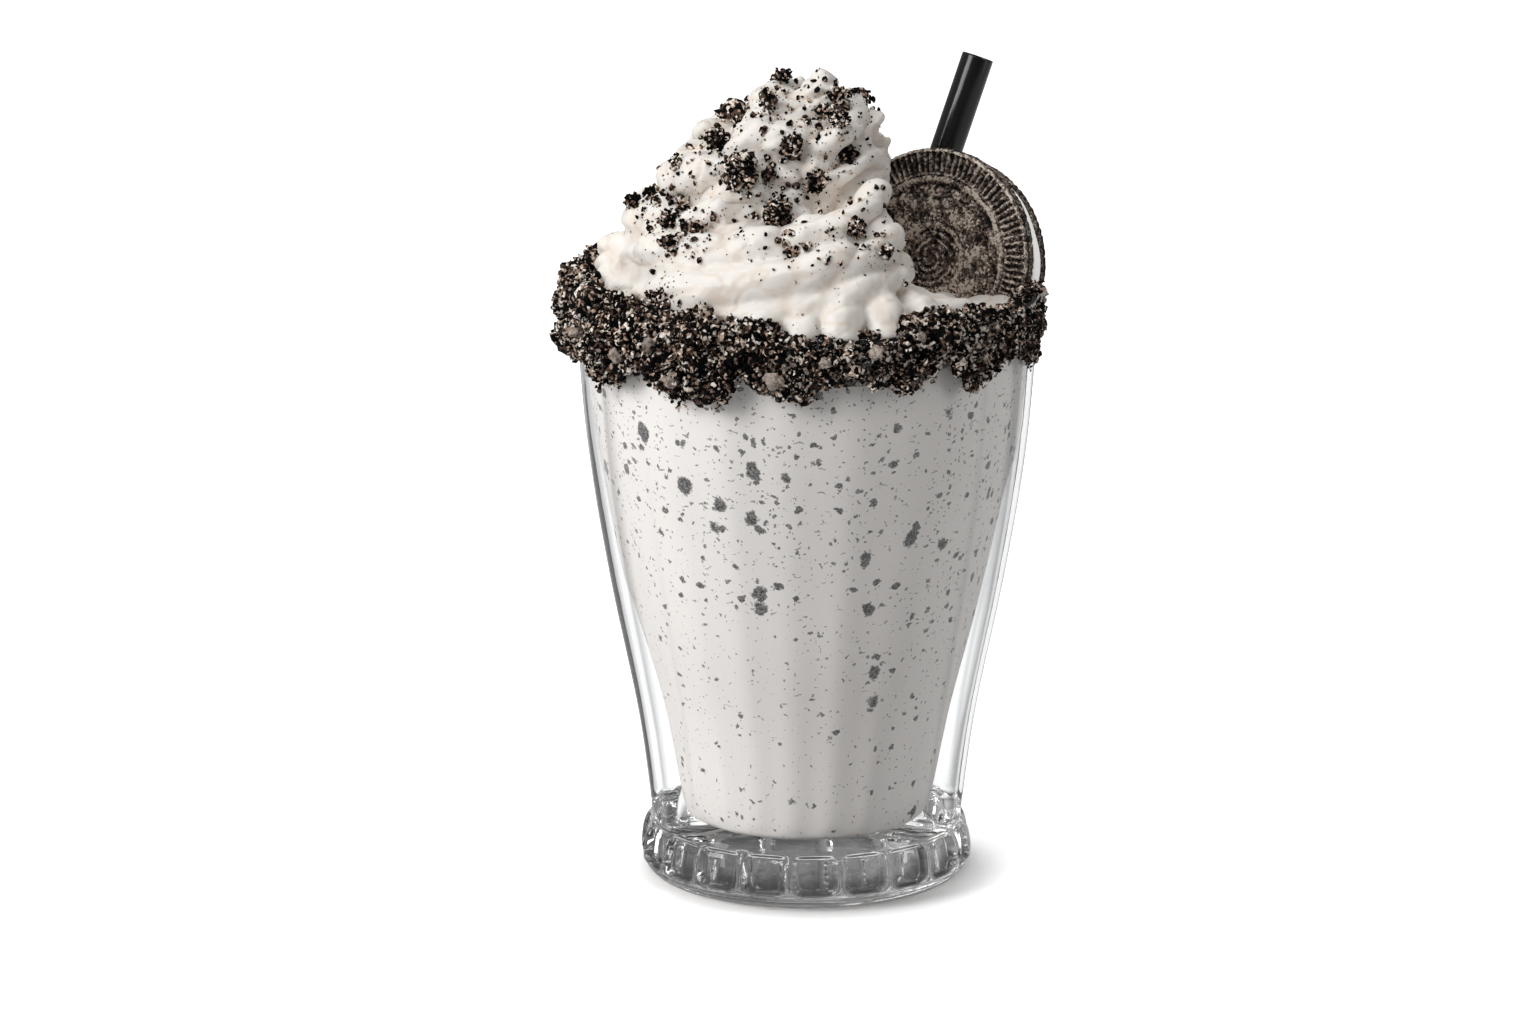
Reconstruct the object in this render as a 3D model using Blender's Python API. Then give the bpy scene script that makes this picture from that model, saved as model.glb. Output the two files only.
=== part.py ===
"""A cookies and cream milkshake in a fluted glass.

The glass stands on its foot at the origin, +Z is up and the front looks towards -Y. The rim
carries a crust of cookie crumbs, whipped cream is heaped over the shake, and a sandwich cookie
and a drinking straw stand in the cream. Sizes are in millimetres, and each finished mesh is
scaled to metres.
"""

import math

import bmesh
import bpy
import numpy as np
from mathutils import Matrix, Vector, noise
from mathutils.bvhtree import BVHTree

MM = 0.001
GAP = 0.3

# Glass
RIM_HEIGHT = 121.0
RIM_RADIUS = 46.8
RIM_ROUND = 0.9
NECK_HEIGHT = 11.9
NECK_RADIUS = 31.2
FOOT_RADIUS = 33.4
FOOT_BASE_RADIUS = 29.6
CAVITY_FLOOR = 12.5
FLUTES = 20
STEPS_PER_FLUTE = 3
FIRST_RIB = math.radians(12.0)
BODY_FLUTE_DEPTH = 0.45
FOOT_PANEL_DEPTH = 1.3
# The outline of the foot: height, radius and how deep its panels are there
FOOT_OUTLINE = (
    (0.0, FOOT_BASE_RADIUS - 1.0, 0.0),
    (0.7, FOOT_BASE_RADIUS + 1.2, 0.0),
    (2.4, FOOT_RADIUS - 0.9, 0.0),
    (4.0, FOOT_RADIUS, FOOT_PANEL_DEPTH),
    (6.5, FOOT_RADIUS, FOOT_PANEL_DEPTH),
    (9.3, FOOT_RADIUS - 0.5, FOOT_PANEL_DEPTH),
    (11.2, NECK_RADIUS + 0.7, 0.5),
)
# Height and radius of the body, each list from the bottom up
BODY_OUTSIDE = (
    (NECK_HEIGHT, NECK_RADIUS), (34.4, 34.3), (63.7, 40.2), (90.0, 44.3), (RIM_HEIGHT, RIM_RADIUS),
)
CORNER = 1.6
BODY_INSIDE = (
    (CAVITY_FLOOR + 2.0, 23.4), (34.0, 27.2), (55.0, 32.8), (76.0, 37.4), (97.0, 41.4), (RIM_HEIGHT, 43.4),
)

# Shake and cream
SHAKE_LEVEL = 112.0
SHAKE_STEPS = 48
CREAM_LIMIT_RADIUS = 41.5
CREAM_VOXEL = 1.3
CREAM_FACES = 1500
CREAM_BED_STEPS = 64
CREAM_BED_DEPTH = 11.0
CREAM_BED_TAPER = 1.5
CREAM_BED_RISE = 1.5

# Crumb crust on the rim
CRUST_STEPS = 68
CRUST_INNER_RADIUS = 41.9
CRUST_OUTER_RADIUS = 49.2
CRUST_TOP = 123.6
CRUST_BOTTOM = 108.6
CRUST_INNER_LEG = 2.2
CRUST_CLEARANCE = GAP + 0.12
CRUST_LEAST_THICKNESS = 1.2
# How far under the rim the crust starts to hug it
CRUST_HUG = 4.0
# The rough side from the inner shoulder over the crest: radius, and how far under the top
CRUST_CREST = ((42.5, 1.2), (43.6, 0.0), (46.2, -0.1), (48.4, 1.8), (49.2, 5.5))
# Further down: how far inside the widest, and how far over the lower edge
CRUST_SIDE = ((0.0, 5.2), (0.6, 2.0))
# The lowest corner: how far outside the wall, and how far under the lower edge
CRUST_FOOT = (1.8, 0.2)
# Noise on the crust: how fine it is, where it is read, and how high its bumps are
EDGE_NOISES = ((6.0, 3.1, 2.4), (15.0, 8.7, 1.6))
TOP_NOISE = (9.0, 15.2, 1.3)
REACH_NOISE = (14.0, 21.3, 2.0)
HEIGHT_NOISE = (17.0, 40.9, 1.1)
NOISE_ROW_STEP = 1.7
CRUST_CHUNKS = 18
CRUST_SEED = 5
CHUNK_SIZES = (3.2, 5.0)
CHUNK_HEIGHTS = (CRUST_BOTTOM + 2.0, CRUST_TOP - 2.0)
# How far a chunk's middle lies inside the crust's widest, as a share of its size
CHUNK_DEPTH = 0.05

# Sandwich cookie, on its own axis with +Z out of the face that shows
COOKIE_RADIUS = 22.25
WAFER_THICKNESS = 3.1
FILLING_THICKNESS = 2.4
FILLING_RADIUS = 21.2
COOKIE_FACE_CENTRE = (24.8, 9.0, 124.5)
COOKIE_TURN = math.radians(31.3)
COOKIE_LEAN = math.radians(12.5)
COOKIE_STEPS = 48
# How far the filling and the back wafer slid down behind the front one
COOKIE_SLIP = 1.3
FACE_RELIEF = 0.45
EDGE_ROUND = 0.8
BAND_INSIDE = 17.2
RING_OUTSIDE = 7.0
RING_INSIDE = 6.0

# Straw
STRAW_RADIUS = 3.25
STRAW_WALL = 0.35
STRAW_TOP = (34.7, 34.0, 160.5)
STRAW_FOOT = (-15.4, 10.4, 14.2)
STRAW_STEPS = 16

# Rings that cut one piece clear of another
ROOM_STEPS = 96
ROOM_WIDTH = 20.0
ROOM_RISE = 4.0

# Crumbs on the cream are placed as seen from the front, by a line that looks down at this angle
SIGHT_ANGLE = math.radians(14.6)
CREAM_CRUMB_SEED = 11
CRUMB_STANDS_OUT = 0.12
SMALL_CRUMBS = 20
SMALL_CRUMB_SIZES = (3.0, 6.5)
# Small crumbs lie round the sides and the back, at these angles and heights
SMALL_CRUMB_ANGLES = (math.radians(30.0), math.radians(165.0))
SMALL_CRUMB_HEIGHTS = (124.0, 154.0)
SMALL_CRUMB_LOWEST = 127.0
SMALL_CRUMB_TRIES = 400
# Two crumbs lie at least this share of their sizes apart
CRUMB_SPACING = 0.6
LOOK_FROM = 100.0
HEAP_AXIS = (-4.0, 1.0)
LOOK_SLOPE = 0.35
# Across from the axis, up the view, and size
LARGE_CRUMBS = (
    (-13.1, 138.0, 8.2), (-5.5, 130.7, 7.4), (-13.8, 149.0, 6.8), (-17.2, 144.8, 5.0), (-7.3, 153.1, 4.2),
    (-5.1, 158.0, 3.6), (1.4, 161.0, 2.8), (6.1, 154.1, 5.0), (9.1, 156.2, 3.6), (3.4, 151.6, 3.8),
    (-3.0, 144.4, 5.0), (6.7, 148.5, 5.0), (7.1, 142.4, 4.4), (2.0, 136.8, 5.0), (-7.5, 138.4, 4.2),
    (-26.9, 129.3, 4.0), (-21.8, 127.9, 3.4), (-24.8, 132.7, 3.2), (-34.3, 133.7, 3.8), (-30.9, 134.7, 3.0),
    (-25.7, 140.8, 2.8), (-28.9, 113.9, 5.2), (9.1, 127.9, 4.0), (-3.0, 123.0, 2.8), (-27.3, 125.0, 3.4),
    (15.2, 123.2, 3.4),
)

# The piped rope of cream, from the back right of the rim round by the left and up: angle in degrees,
# height, sideways lean, turn radius and rope radius
CREAM_ROPE = (
    (40.0, 119.5, -1.0, 33.0, 7.0),
    (180.0, 123.6, -1.0, 33.5, 7.4),
    (270.0, 127.5, -1.0, 31.0, 7.8),
    (310.0, 130.0, -3.5, 26.0, 7.4),
    (350.0, 133.5, -8.5, 19.5, 7.0),
    (540.0, 133.6, -9.6, 20.5, 7.0),
    (720.0, 141.5, -7.4, 18.5, 6.6),
    (900.0, 144.0, -6.0, 17.6, 6.5),
    (1260.0, 150.4, -2.2, 13.8, 6.2),
    (1620.0, 157.6, 0.8, 7.6, 5.2),
    (1800.0, 161.6, 2.4, 0.5, 4.4),
)
CREAM_ROPE_BALLS = 170
# What the rope encloses: height, sideways lean, radius and half height
CREAM_CORE = (
    (121.0, -8.0, 29.0, 7.0), (132.0, -9.0, 21.0, 9.0), (142.0, -6.5, 18.5, 9.0), (152.0, -2.4, 13.5, 8.0),
)
CREAM_LOBES = 44
# Shares of the rope's radius: how far out its lobes sit, and their sizes; then how far they stray
LOBE_REACH = (0.4, 0.65)
LOBE_SIZE = (0.42, 0.66)
LOBE_STRAY = 3.5
CREAM_SEED = 3
# Folds that lie over the rope at the front: radius, then the points that the fold follows
CREAM_FOLDS = (
    (5.9, ((-35.0, -9.0, 128.0), (-26.5, -21.5, 131.2), (-7.0, -27.0, 134.6), (9.0, -24.5, 138.0),
           (13.0, -16.0, 140.2))),
    (5.2, ((-33.0, -16.0, 124.6), (-22.0, -31.0, 126.4), (-5.0, -35.4, 129.8), (6.0, -33.0, 132.4),
           (15.5, -24.0, 135.2))),
    (3.6, ((-29.0, -28.0, 120.6), (-21.0, -35.0, 121.6), (-5.0, -39.4, 124.4), (9.0, -36.6, 127.6),
           (18.0, -28.4, 130.0))),
    (4.6, ((-13.0, -34.0, 121.4), (0.0, -37.0, 121.4), (11.0, -36.0, 121.6), (22.0, -30.0, 121.4))),
    (4.6, ((-9.0, -32.0, 125.0), (-8.4, -38.0, 123.4))),
    (5.0, ((-1.5, -33.0, 125.4), (-1.0, -38.0, 123.6))),
    (5.2, ((6.0, -32.5, 126.0), (6.2, -38.0, 123.8))),
    (4.8, ((13.5, -30.0, 126.0), (14.6, -35.0, 123.6))),
    (4.6, ((19.0, -26.0, 125.0), (22.0, -31.0, 122.6))),
    (4.3, ((20.0, -24.0, 123.4), (27.0, -24.5, 121.4))),
    (2.8, ((-29.0, -25.0, 124.6), (-34.5, -21.5, 124.6))),
)


def clear_scene():
    for obj in list(bpy.data.objects):
        bpy.data.objects.remove(obj, do_unlink=True)


def make_material(name, colour, roughness, transmission=0.0):
    material = bpy.data.materials.new(name)
    material.use_nodes = True
    shader = material.node_tree.nodes["Principled BSDF"]
    shader.inputs["Base Color"].default_value = (*colour, 1.0)
    shader.inputs["Roughness"].default_value = roughness
    shader.inputs["Metallic"].default_value = 0.0
    shader.inputs["Transmission Weight"].default_value = transmission
    material.diffuse_color = (*colour, 1.0)
    return material


def add_object(name, mesh):
    obj = bpy.data.objects.new(name, mesh)
    bpy.context.scene.collection.objects.link(obj)
    return obj


def mesh_from_bmesh(name, bm):
    mesh = bpy.data.meshes.new(name)
    bmesh.ops.recalc_face_normals(bm, faces=bm.faces)
    bm.to_mesh(mesh)
    bm.free()
    return mesh


def apply_modifiers(obj):
    """Keeps what the modifiers make as the object's own mesh."""
    graph = bpy.context.evaluated_depsgraph_get()
    mesh = bpy.data.meshes.new_from_object(obj.evaluated_get(graph))
    obj.modifiers.clear()
    obj.data = mesh


def add_boolean(obj, operation, other=None, collection=None, solver="EXACT"):
    modifier = obj.modifiers.new(operation.title(), "BOOLEAN")
    modifier.operation = operation
    modifier.solver = solver
    if collection:
        modifier.operand_type = "COLLECTION"
        modifier.collection = collection
    else:
        modifier.object = other


def finish(obj, material, sharp_angle=50.0):
    """Gives the finished mesh its material, its smooth shading and its size in metres."""
    apply_modifiers(obj)
    obj.data.transform(Matrix.Scale(MM, 4))
    obj.data.materials.clear()
    obj.data.materials.append(material)
    obj.data.shade_smooth()
    obj.data.set_sharp_from_angle(angle=math.radians(sharp_angle))


def curve_through(points, steps):
    """Points along a smooth curve through the given ones, a number of steps for each stretch."""
    known = [np.array(point, float) for point in points]
    known = [2 * known[0] - known[1], *known, 2 * known[-1] - known[-2]]
    found = []
    for before, start, end, after in zip(known, known[1:], known[2:], known[3:]):
        for step in range(steps):
            t = step / steps
            found.append(
                0.5 * (
                    2 * start
                    + (end - before) * t
                    + (2 * before - 5 * start + 4 * end - after) * t**2
                    + (3 * start - before - 3 * end + after) * t**3
                )
            )
    found.append(known[-2])
    return found


def turned_solid(name, rows, steps, hollow=False):
    """A closed solid from rings of points. A row of one point closes an end, and a hollow one joins up."""
    bm = bmesh.new()
    rings = [[bm.verts.new(point) for point in row] for row in rows]
    if hollow:
        rings.append(rings[0])
    for below, above in zip(rings, rings[1:]):
        for step in range(steps):
            following = (step + 1) % steps
            corners = [
                below[step % len(below)],
                below[following % len(below)],
                above[following % len(above)],
                above[step % len(above)],
            ]
            bm.faces.new(list(dict.fromkeys(corners)))
    bmesh.ops.triangulate(bm, faces=bm.faces)
    return mesh_from_bmesh(name, bm)


def round_row(radius, height, steps):
    return [
        (radius * math.cos(math.tau * step / steps), radius * math.sin(math.tau * step / steps), height)
        for step in range(steps)
    ]


def radius_between(profile, height):
    """The radius of a smooth profile at a height."""
    curve = np.array(curve_through(profile, 8))
    return float(np.interp(height, curve[:, 0], curve[:, 1]))


def fluted_row(radius, height, depth):
    """One ring of the glass outside, with a shallow hollow between each pair of ribs."""
    row = []
    for step in range(FLUTES * STEPS_PER_FLUTE):
        hollow = math.sin(math.pi * (step % STEPS_PER_FLUTE) / STEPS_PER_FLUTE) ** 0.7
        angle = FIRST_RIB - math.pi / 2 + math.tau * step / (FLUTES * STEPS_PER_FLUTE)
        reach = radius - depth * hollow
        row.append((reach * math.cos(angle), reach * math.sin(angle), height))
    return row


def plain_row(radius, height):
    return fluted_row(radius, height, 0.0)


def make_glass():
    rows = [[(0.0, 0.0, 0.0)]]
    rows += [fluted_row(radius, height, depth) for height, radius, depth in FOOT_OUTLINE]
    outside = curve_through(BODY_OUTSIDE, 2)
    rows += [fluted_row(radius, height, BODY_FLUTE_DEPTH) for height, radius in outside[:-1]]
    mouth = BODY_INSIDE[-1][1]
    rows.append(plain_row(RIM_RADIUS, RIM_HEIGHT - RIM_ROUND))
    rows.append(plain_row(RIM_RADIUS - RIM_ROUND, RIM_HEIGHT))
    rows.append(plain_row(mouth + RIM_ROUND, RIM_HEIGHT))
    rows.append(plain_row(mouth, RIM_HEIGHT - RIM_ROUND))
    rows += [plain_row(radius, height) for height, radius in reversed(BODY_INSIDE[:-1])]
    rows.append(plain_row(BODY_INSIDE[0][1] - CORNER, CAVITY_FLOOR))
    rows.append([(0.0, 0.0, CAVITY_FLOOR)])
    glass = add_object("glass", turned_solid("glass", rows, FLUTES * STEPS_PER_FLUTE))
    finish(glass, make_material("clear glass", (0.93, 0.94, 0.95), 0.03, transmission=1.0), 30.0)


def cookie_matrix():
    """Places the cookie's own axes, with its origin at the middle of the face that shows."""
    lean = Matrix.Rotation(math.pi / 2 - COOKIE_LEAN, 4, "X")
    turn = Matrix.Rotation(-COOKIE_TURN, 4, "Z")
    return Matrix.Translation(COOKIE_FACE_CENTRE) @ turn @ lean


def disc_rows(profile, steps):
    rows = [[(0.0, 0.0, profile[0][1])]]
    rows += [round_row(radius, height, steps) for radius, height in profile]
    rows.append([(0.0, 0.0, profile[-1][1])])
    return rows


def cookie_cutter():
    """The room that the cookie takes, with a gap all round and space for the pieces that slid down."""
    depth = 2 * WAFER_THICKNESS + FILLING_THICKNESS
    heights = (-depth - GAP, -WAFER_THICKNESS - GAP / 2, -WAFER_THICKNESS, GAP)
    rows = disc_rows([(COOKIE_RADIUS + GAP, height) for height in heights], COOKIE_STEPS)
    for row in rows:
        if row[0][2] < -WAFER_THICKNESS:
            row[:] = [(across, up - COOKIE_SLIP, height) for across, up, height in row]
    cutter = add_object("cookie room", turned_solid("cookie room", rows, COOKIE_STEPS))
    cutter.matrix_world = cookie_matrix()
    return cutter


def straw_rows(radius, start, end, steps):
    """Two rings square to the straw, at its foot and at its top."""
    foot = Vector(STRAW_FOOT)
    axis = (Vector(STRAW_TOP) - foot).normalized()
    side = axis.cross(Vector((0.0, 1.0, 0.0))).normalized()
    other = axis.cross(side)
    length = (Vector(STRAW_TOP) - foot).length
    rows = []
    for along in (start, length + end):
        centre = foot + axis * along
        angles = [math.tau * step / steps for step in range(steps)]
        rows.append([centre + radius * (side * math.cos(a) + other * math.sin(a)) for a in angles])
    return rows


def straw_cutter():
    rows = straw_rows(STRAW_RADIUS + GAP, -GAP, GAP, STRAW_STEPS)
    low, high = [sum(row, Vector()) / len(row) for row in rows]
    return add_object("straw room", turned_solid("straw room", [[low], *rows, [high]], STRAW_STEPS))


def make_straw():
    outside = straw_rows(STRAW_RADIUS, 0.0, 0.0, STRAW_STEPS)
    inside = straw_rows(STRAW_RADIUS - STRAW_WALL, 0.0, 0.0, STRAW_STEPS)
    rows = [*outside, *reversed(inside)]
    straw = add_object("straw", turned_solid("straw", rows, STRAW_STEPS, hollow=True))
    finish(straw, make_material("black straw", (0.012, 0.011, 0.012), 0.2))


def ring_room(name, inside, outside):
    """A ring to cut with, between two lists of radius and height that both run upwards."""
    rows = [round_row(radius, height, ROOM_STEPS) for radius, height in [*reversed(inside), *outside]]
    return add_object(name, turned_solid(name, rows, ROOM_STEPS, hollow=True))


def wall_room(name, reach=None):
    """The top of the glass wall with a gap round it, or all from its inside out to a wider reach."""
    heights = (95.0, 103.0, 112.0, RIM_HEIGHT)
    inside = [(radius_between(BODY_INSIDE, height) - GAP, height) for height in heights]
    outside = [(reach or radius_between(BODY_OUTSIDE, height) + GAP, height) for height in heights]
    inside[-1] = (inside[-1][0], RIM_HEIGHT + GAP)
    outside[-1] = (outside[-1][0], RIM_HEIGHT + GAP)
    return ring_room(name, inside, outside)


def crust_room():
    """All that is outside the cream, up to over the crust."""
    inside = [(CREAM_LIMIT_RADIUS + 0.1, height) for height in (100.0, CRUST_TOP + ROOM_RISE)]
    outside = [(RIM_RADIUS + ROOM_WIDTH, height) for radius, height in inside]
    return ring_room("crust room", inside, outside)


def wafer_profile(top, face_up):
    """A wafer with a raised band round its edge and a raised ring at its middle."""
    edge = COOKIE_RADIUS
    low = top - FACE_RELIEF
    back = top - WAFER_THICKNESS
    outline = [(edge - EDGE_ROUND, back), (edge, back + EDGE_ROUND), (edge, top - EDGE_ROUND)]
    outline += [(edge - EDGE_ROUND, top), (BAND_INSIDE, top), (BAND_INSIDE - FACE_RELIEF, low)]
    outline += [(RING_OUTSIDE + FACE_RELIEF, low), (RING_OUTSIDE, top), (RING_INSIDE, top)]
    outline.append((RING_INSIDE - FACE_RELIEF, low))
    if face_up:
        return outline
    return [(radius, top + back - height) for radius, height in outline]


def make_cookie(rim_room):
    filling_top = -WAFER_THICKNESS - GAP / 2
    filling_bottom = filling_top - FILLING_THICKNESS + GAP
    back_top = -WAFER_THICKNESS - FILLING_THICKNESS
    pieces = {
        "cookie_front_wafer": wafer_profile(0.0, True),
        "cookie_filling": ((FILLING_RADIUS, filling_bottom), (FILLING_RADIUS, filling_top)),
        "cookie_back_wafer": wafer_profile(back_top, False),
    }
    wafer = make_material("dark cookie wafer", (0.032, 0.024, 0.02), 0.75)
    cream = make_material("cookie filling", (0.8, 0.79, 0.77), 0.5)
    for name, profile in pieces.items():
        mesh = turned_solid(name, disc_rows(profile, COOKIE_STEPS), COOKIE_STEPS)
        slip = 0.0 if name == "cookie_front_wafer" else -COOKIE_SLIP
        mesh.transform(cookie_matrix() @ Matrix.Translation((0.0, slip, 0.0)))
        piece = add_object(name, mesh)
        add_boolean(piece, "DIFFERENCE", rim_room)
        finish(piece, cream if name == "cookie_filling" else wafer, 35.0)


def make_shake(rooms):
    heights = [height for height, radius in BODY_INSIDE[:-1]] + [SHAKE_LEVEL]
    floor = CAVITY_FLOOR + GAP
    rows = [[(0.0, 0.0, floor)], round_row(BODY_INSIDE[0][1] - CORNER - GAP, floor, SHAKE_STEPS)]
    rows += [round_row(radius_between(BODY_INSIDE, height) - GAP, height, SHAKE_STEPS) for height in heights]
    rows.append([(0.0, 0.0, SHAKE_LEVEL)])
    shake = add_object("milkshake", turned_solid("milkshake", rows, SHAKE_STEPS))
    for room in rooms:
        add_boolean(shake, "DIFFERENCE", room)
    finish(shake, make_material("cookies and cream shake", (0.7, 0.69, 0.68), 0.4))


def add_ball(bm, centre, radii, detail=2):
    place = Matrix.Translation(centre) @ Matrix.Diagonal((*radii, 1.0))
    bmesh.ops.create_icosphere(bm, subdivisions=detail, radius=1.0, matrix=place)


def add_rope(bm, points, radius):
    """A rope of cream as close-set balls, thinner at its two ends."""
    route = curve_through(points, 12)
    for index, point in enumerate(route):
        end = min(index, len(route) - 1 - index) / 12
        size = radius * min(1.0, 0.72 + 0.28 * end)
        add_ball(bm, point, (size, size, size))


def rope_at(share):
    """The rope's centre and radius at a share of its length."""
    columns = np.array(CREAM_ROPE).T
    degrees = columns[0, 0] + share * (columns[0, -1] - columns[0, 0])
    height, lean, turn, rope = (np.interp(degrees, columns[0], column) for column in columns[1:])
    return math.radians(degrees), height, lean, turn, rope


def cream_heap():
    """The heap before it is blended: the piped rope, what it encloses, its lobes and the front folds."""
    draw = np.random.default_rng(CREAM_SEED)
    bm = bmesh.new()
    bed = Matrix.Translation((0.0, 0.0, SHAKE_LEVEL + CREAM_BED_RISE))
    bmesh.ops.create_cone(
        bm, cap_ends=True, segments=CREAM_BED_STEPS, radius1=CREAM_LIMIT_RADIUS,
        radius2=CREAM_LIMIT_RADIUS - CREAM_BED_TAPER, depth=CREAM_BED_DEPTH, matrix=bed,
    )
    for height, lean, radius, half_height in CREAM_CORE:
        add_ball(bm, (lean, 1.0, height), (radius, radius, half_height), 3)
    for share in np.linspace(0.0, 1.0, CREAM_ROPE_BALLS):
        angle, height, lean, turn, rope = rope_at(share)
        centre = (lean + turn * math.cos(angle), 1.0 + turn * math.sin(angle), height)
        add_ball(bm, centre, (rope, rope, rope * 0.85))
    for lobe in range(CREAM_LOBES):
        angle, height, lean, turn, rope = rope_at((lobe + draw.uniform(0.2, 0.8)) / CREAM_LOBES)
        reach = turn + rope * draw.uniform(*LOBE_REACH)
        size = rope * draw.uniform(*LOBE_SIZE)
        height += draw.uniform(-LOBE_STRAY, LOBE_STRAY)
        centre = (lean + reach * math.cos(angle), 1.0 + reach * math.sin(angle), height)
        add_ball(bm, centre, (size, size, size))
    for radius, points in CREAM_FOLDS:
        add_rope(bm, points, radius)
    return mesh_from_bmesh("whipped_cream", bm)


def blended_cream():
    """One skin over the heap, softened, kept inside the rim and flat underneath."""
    cream = add_object("whipped_cream", cream_heap())
    skin = cream.modifiers.new("Skin", "REMESH")
    skin.mode = "VOXEL"
    skin.voxel_size = CREAM_VOXEL
    soften = cream.modifiers.new("Soften", "SMOOTH")
    soften.factor = 0.5
    soften.iterations = 3
    apply_modifiers(cream)
    for vertex in cream.data.vertices:
        reach = math.hypot(vertex.co.x, vertex.co.y)
        if reach > CREAM_LIMIT_RADIUS:
            vertex.co.x *= CREAM_LIMIT_RADIUS / reach
            vertex.co.y *= CREAM_LIMIT_RADIUS / reach
    fewer = cream.modifiers.new("Fewer faces", "DECIMATE")
    fewer.ratio = CREAM_FACES / (2 * len(cream.data.polygons))
    apply_modifiers(cream)
    bm = bmesh.new()
    bm.from_mesh(cream.data)
    low = SHAKE_LEVEL + GAP
    cut = bmesh.ops.bisect_plane(
        bm, geom=[*bm.verts, *bm.edges, *bm.faces], plane_co=(0.0, 0.0, low), plane_no=(0.0, 0.0, -1.0),
        clear_outer=True,
    )
    edges = [item for item in cut["geom_cut"] if isinstance(item, bmesh.types.BMEdge)]
    bmesh.ops.contextual_create(bm, geom=edges)
    bmesh.ops.triangulate(bm, faces=bm.faces)
    cream.data = mesh_from_bmesh("whipped_cream", bm)
    return cream


def crumb_mesh(name, size, draw):
    """A craggy crumb with few sides."""
    bm = bmesh.new()
    bmesh.ops.create_uvsphere(bm, u_segments=6, v_segments=3, radius=size / 2)
    turn = Matrix.Rotation(draw.uniform(0.0, math.tau), 3, draw.normal(size=3))
    for vertex in bm.verts:
        vertex.co = turn @ (vertex.co * draw.uniform(0.78, 1.2))
    return mesh_from_bmesh(name, bm)


def gather_crumbs(name, spots, draw):
    """Puts a crumb of each size at its spot, in a collection of their own."""
    crumbs = bpy.data.collections.new(name)
    bpy.context.scene.collection.children.link(crumbs)
    for index, (spot, size) in enumerate(spots):
        crumb = bpy.data.objects.new(f"{name} {index}", crumb_mesh(name, size, draw))
        crumb.location = spot
        crumbs.objects.link(crumb)
    return crumbs


def fuse(obj, crumbs, solver):
    """Joins a collection of crumbs to what they lie on, and keeps the largest body."""
    add_boolean(obj, "UNION", collection=crumbs, solver=solver)
    apply_modifiers(obj)
    for crumb in list(crumbs.objects):
        bpy.data.objects.remove(crumb, do_unlink=True)
    bpy.data.collections.remove(crumbs)
    keep_largest(obj)


def keep_largest(obj):
    """Drops loose scraps, so that one body is left."""
    bm = bmesh.new()
    bm.from_mesh(obj.data)
    left = set(bm.verts)
    islands = []
    while left:
        island = {left.pop()}
        edge = set(island)
        while edge:
            edge = {e.other_vert(v) for v in edge for e in v.link_edges} - island
            island |= edge
        left -= island
        islands.append(island)
    islands.sort(key=len)
    for island in islands[:-1]:
        bmesh.ops.delete(bm, geom=list(island), context="VERTS")
    obj.data = mesh_from_bmesh(obj.name, bm)


def sight_line(across, up):
    """Where a spot seen from the front is looked for: a start and a direction."""
    direction = Vector((0.0, math.cos(SIGHT_ANGLE), -math.sin(SIGHT_ANGLE)))
    upwards = Vector((0.0, math.sin(SIGHT_ANGLE), math.cos(SIGHT_ANGLE)))
    return Vector((across, 0.0, 0.0)) + upwards * up - direction * 2 * LOOK_FROM, direction


def cream_crumb_spots(cream, draw):
    """Large crumbs where they show from the front, and small ones round the rest of the heap."""
    tree = BVHTree.FromObject(cream, bpy.context.evaluated_depsgraph_get())
    spots = []
    for across, up, size in LARGE_CRUMBS:
        spot, normal = tree.ray_cast(*sight_line(across, up))[:2]
        if spot:
            spots.append((spot + normal * size * CRUMB_STANDS_OUT, size))
    for attempt in range(SMALL_CRUMB_TRIES):
        if len(spots) == len(LARGE_CRUMBS) + SMALL_CRUMBS:
            break
        angle = draw.uniform(*SMALL_CRUMB_ANGLES)
        outwards = Vector((math.cos(angle), math.sin(angle), LOOK_SLOPE))
        start = Vector((*HEAP_AXIS, draw.uniform(*SMALL_CRUMB_HEIGHTS))) + outwards * LOOK_FROM
        spot, normal = tree.ray_cast(start, -outwards)[:2]
        size = draw.uniform(*SMALL_CRUMB_SIZES)
        if not spot or spot.z < SMALL_CRUMB_LOWEST:
            continue
        if all((spot - other).length > (size + near) * CRUMB_SPACING for other, near in spots):
            spots.append((spot + normal * size * CRUMB_STANDS_OUT, size))
    return spots


def make_cream(rooms):
    cream = blended_cream()
    draw = np.random.default_rng(CREAM_CRUMB_SEED)
    fuse(cream, gather_crumbs("cream crumb", cream_crumb_spots(cream, draw), draw), "EXACT")
    for room in rooms:
        add_boolean(cream, "DIFFERENCE", room)
    apply_modifiers(cream)
    keep_largest(cream)
    finish(cream, make_material("whipped cream", (0.82, 0.78, 0.73), 0.45))


def roughness_at(angle, row, kind):
    """How far a spot on the crust stands out or in, for one kind of noise."""
    scale, seed, rise = kind
    spot = Vector((scale * math.cos(angle), scale * math.sin(angle), NOISE_ROW_STEP * row + seed))
    return rise * noise.noise(spot)


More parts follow.
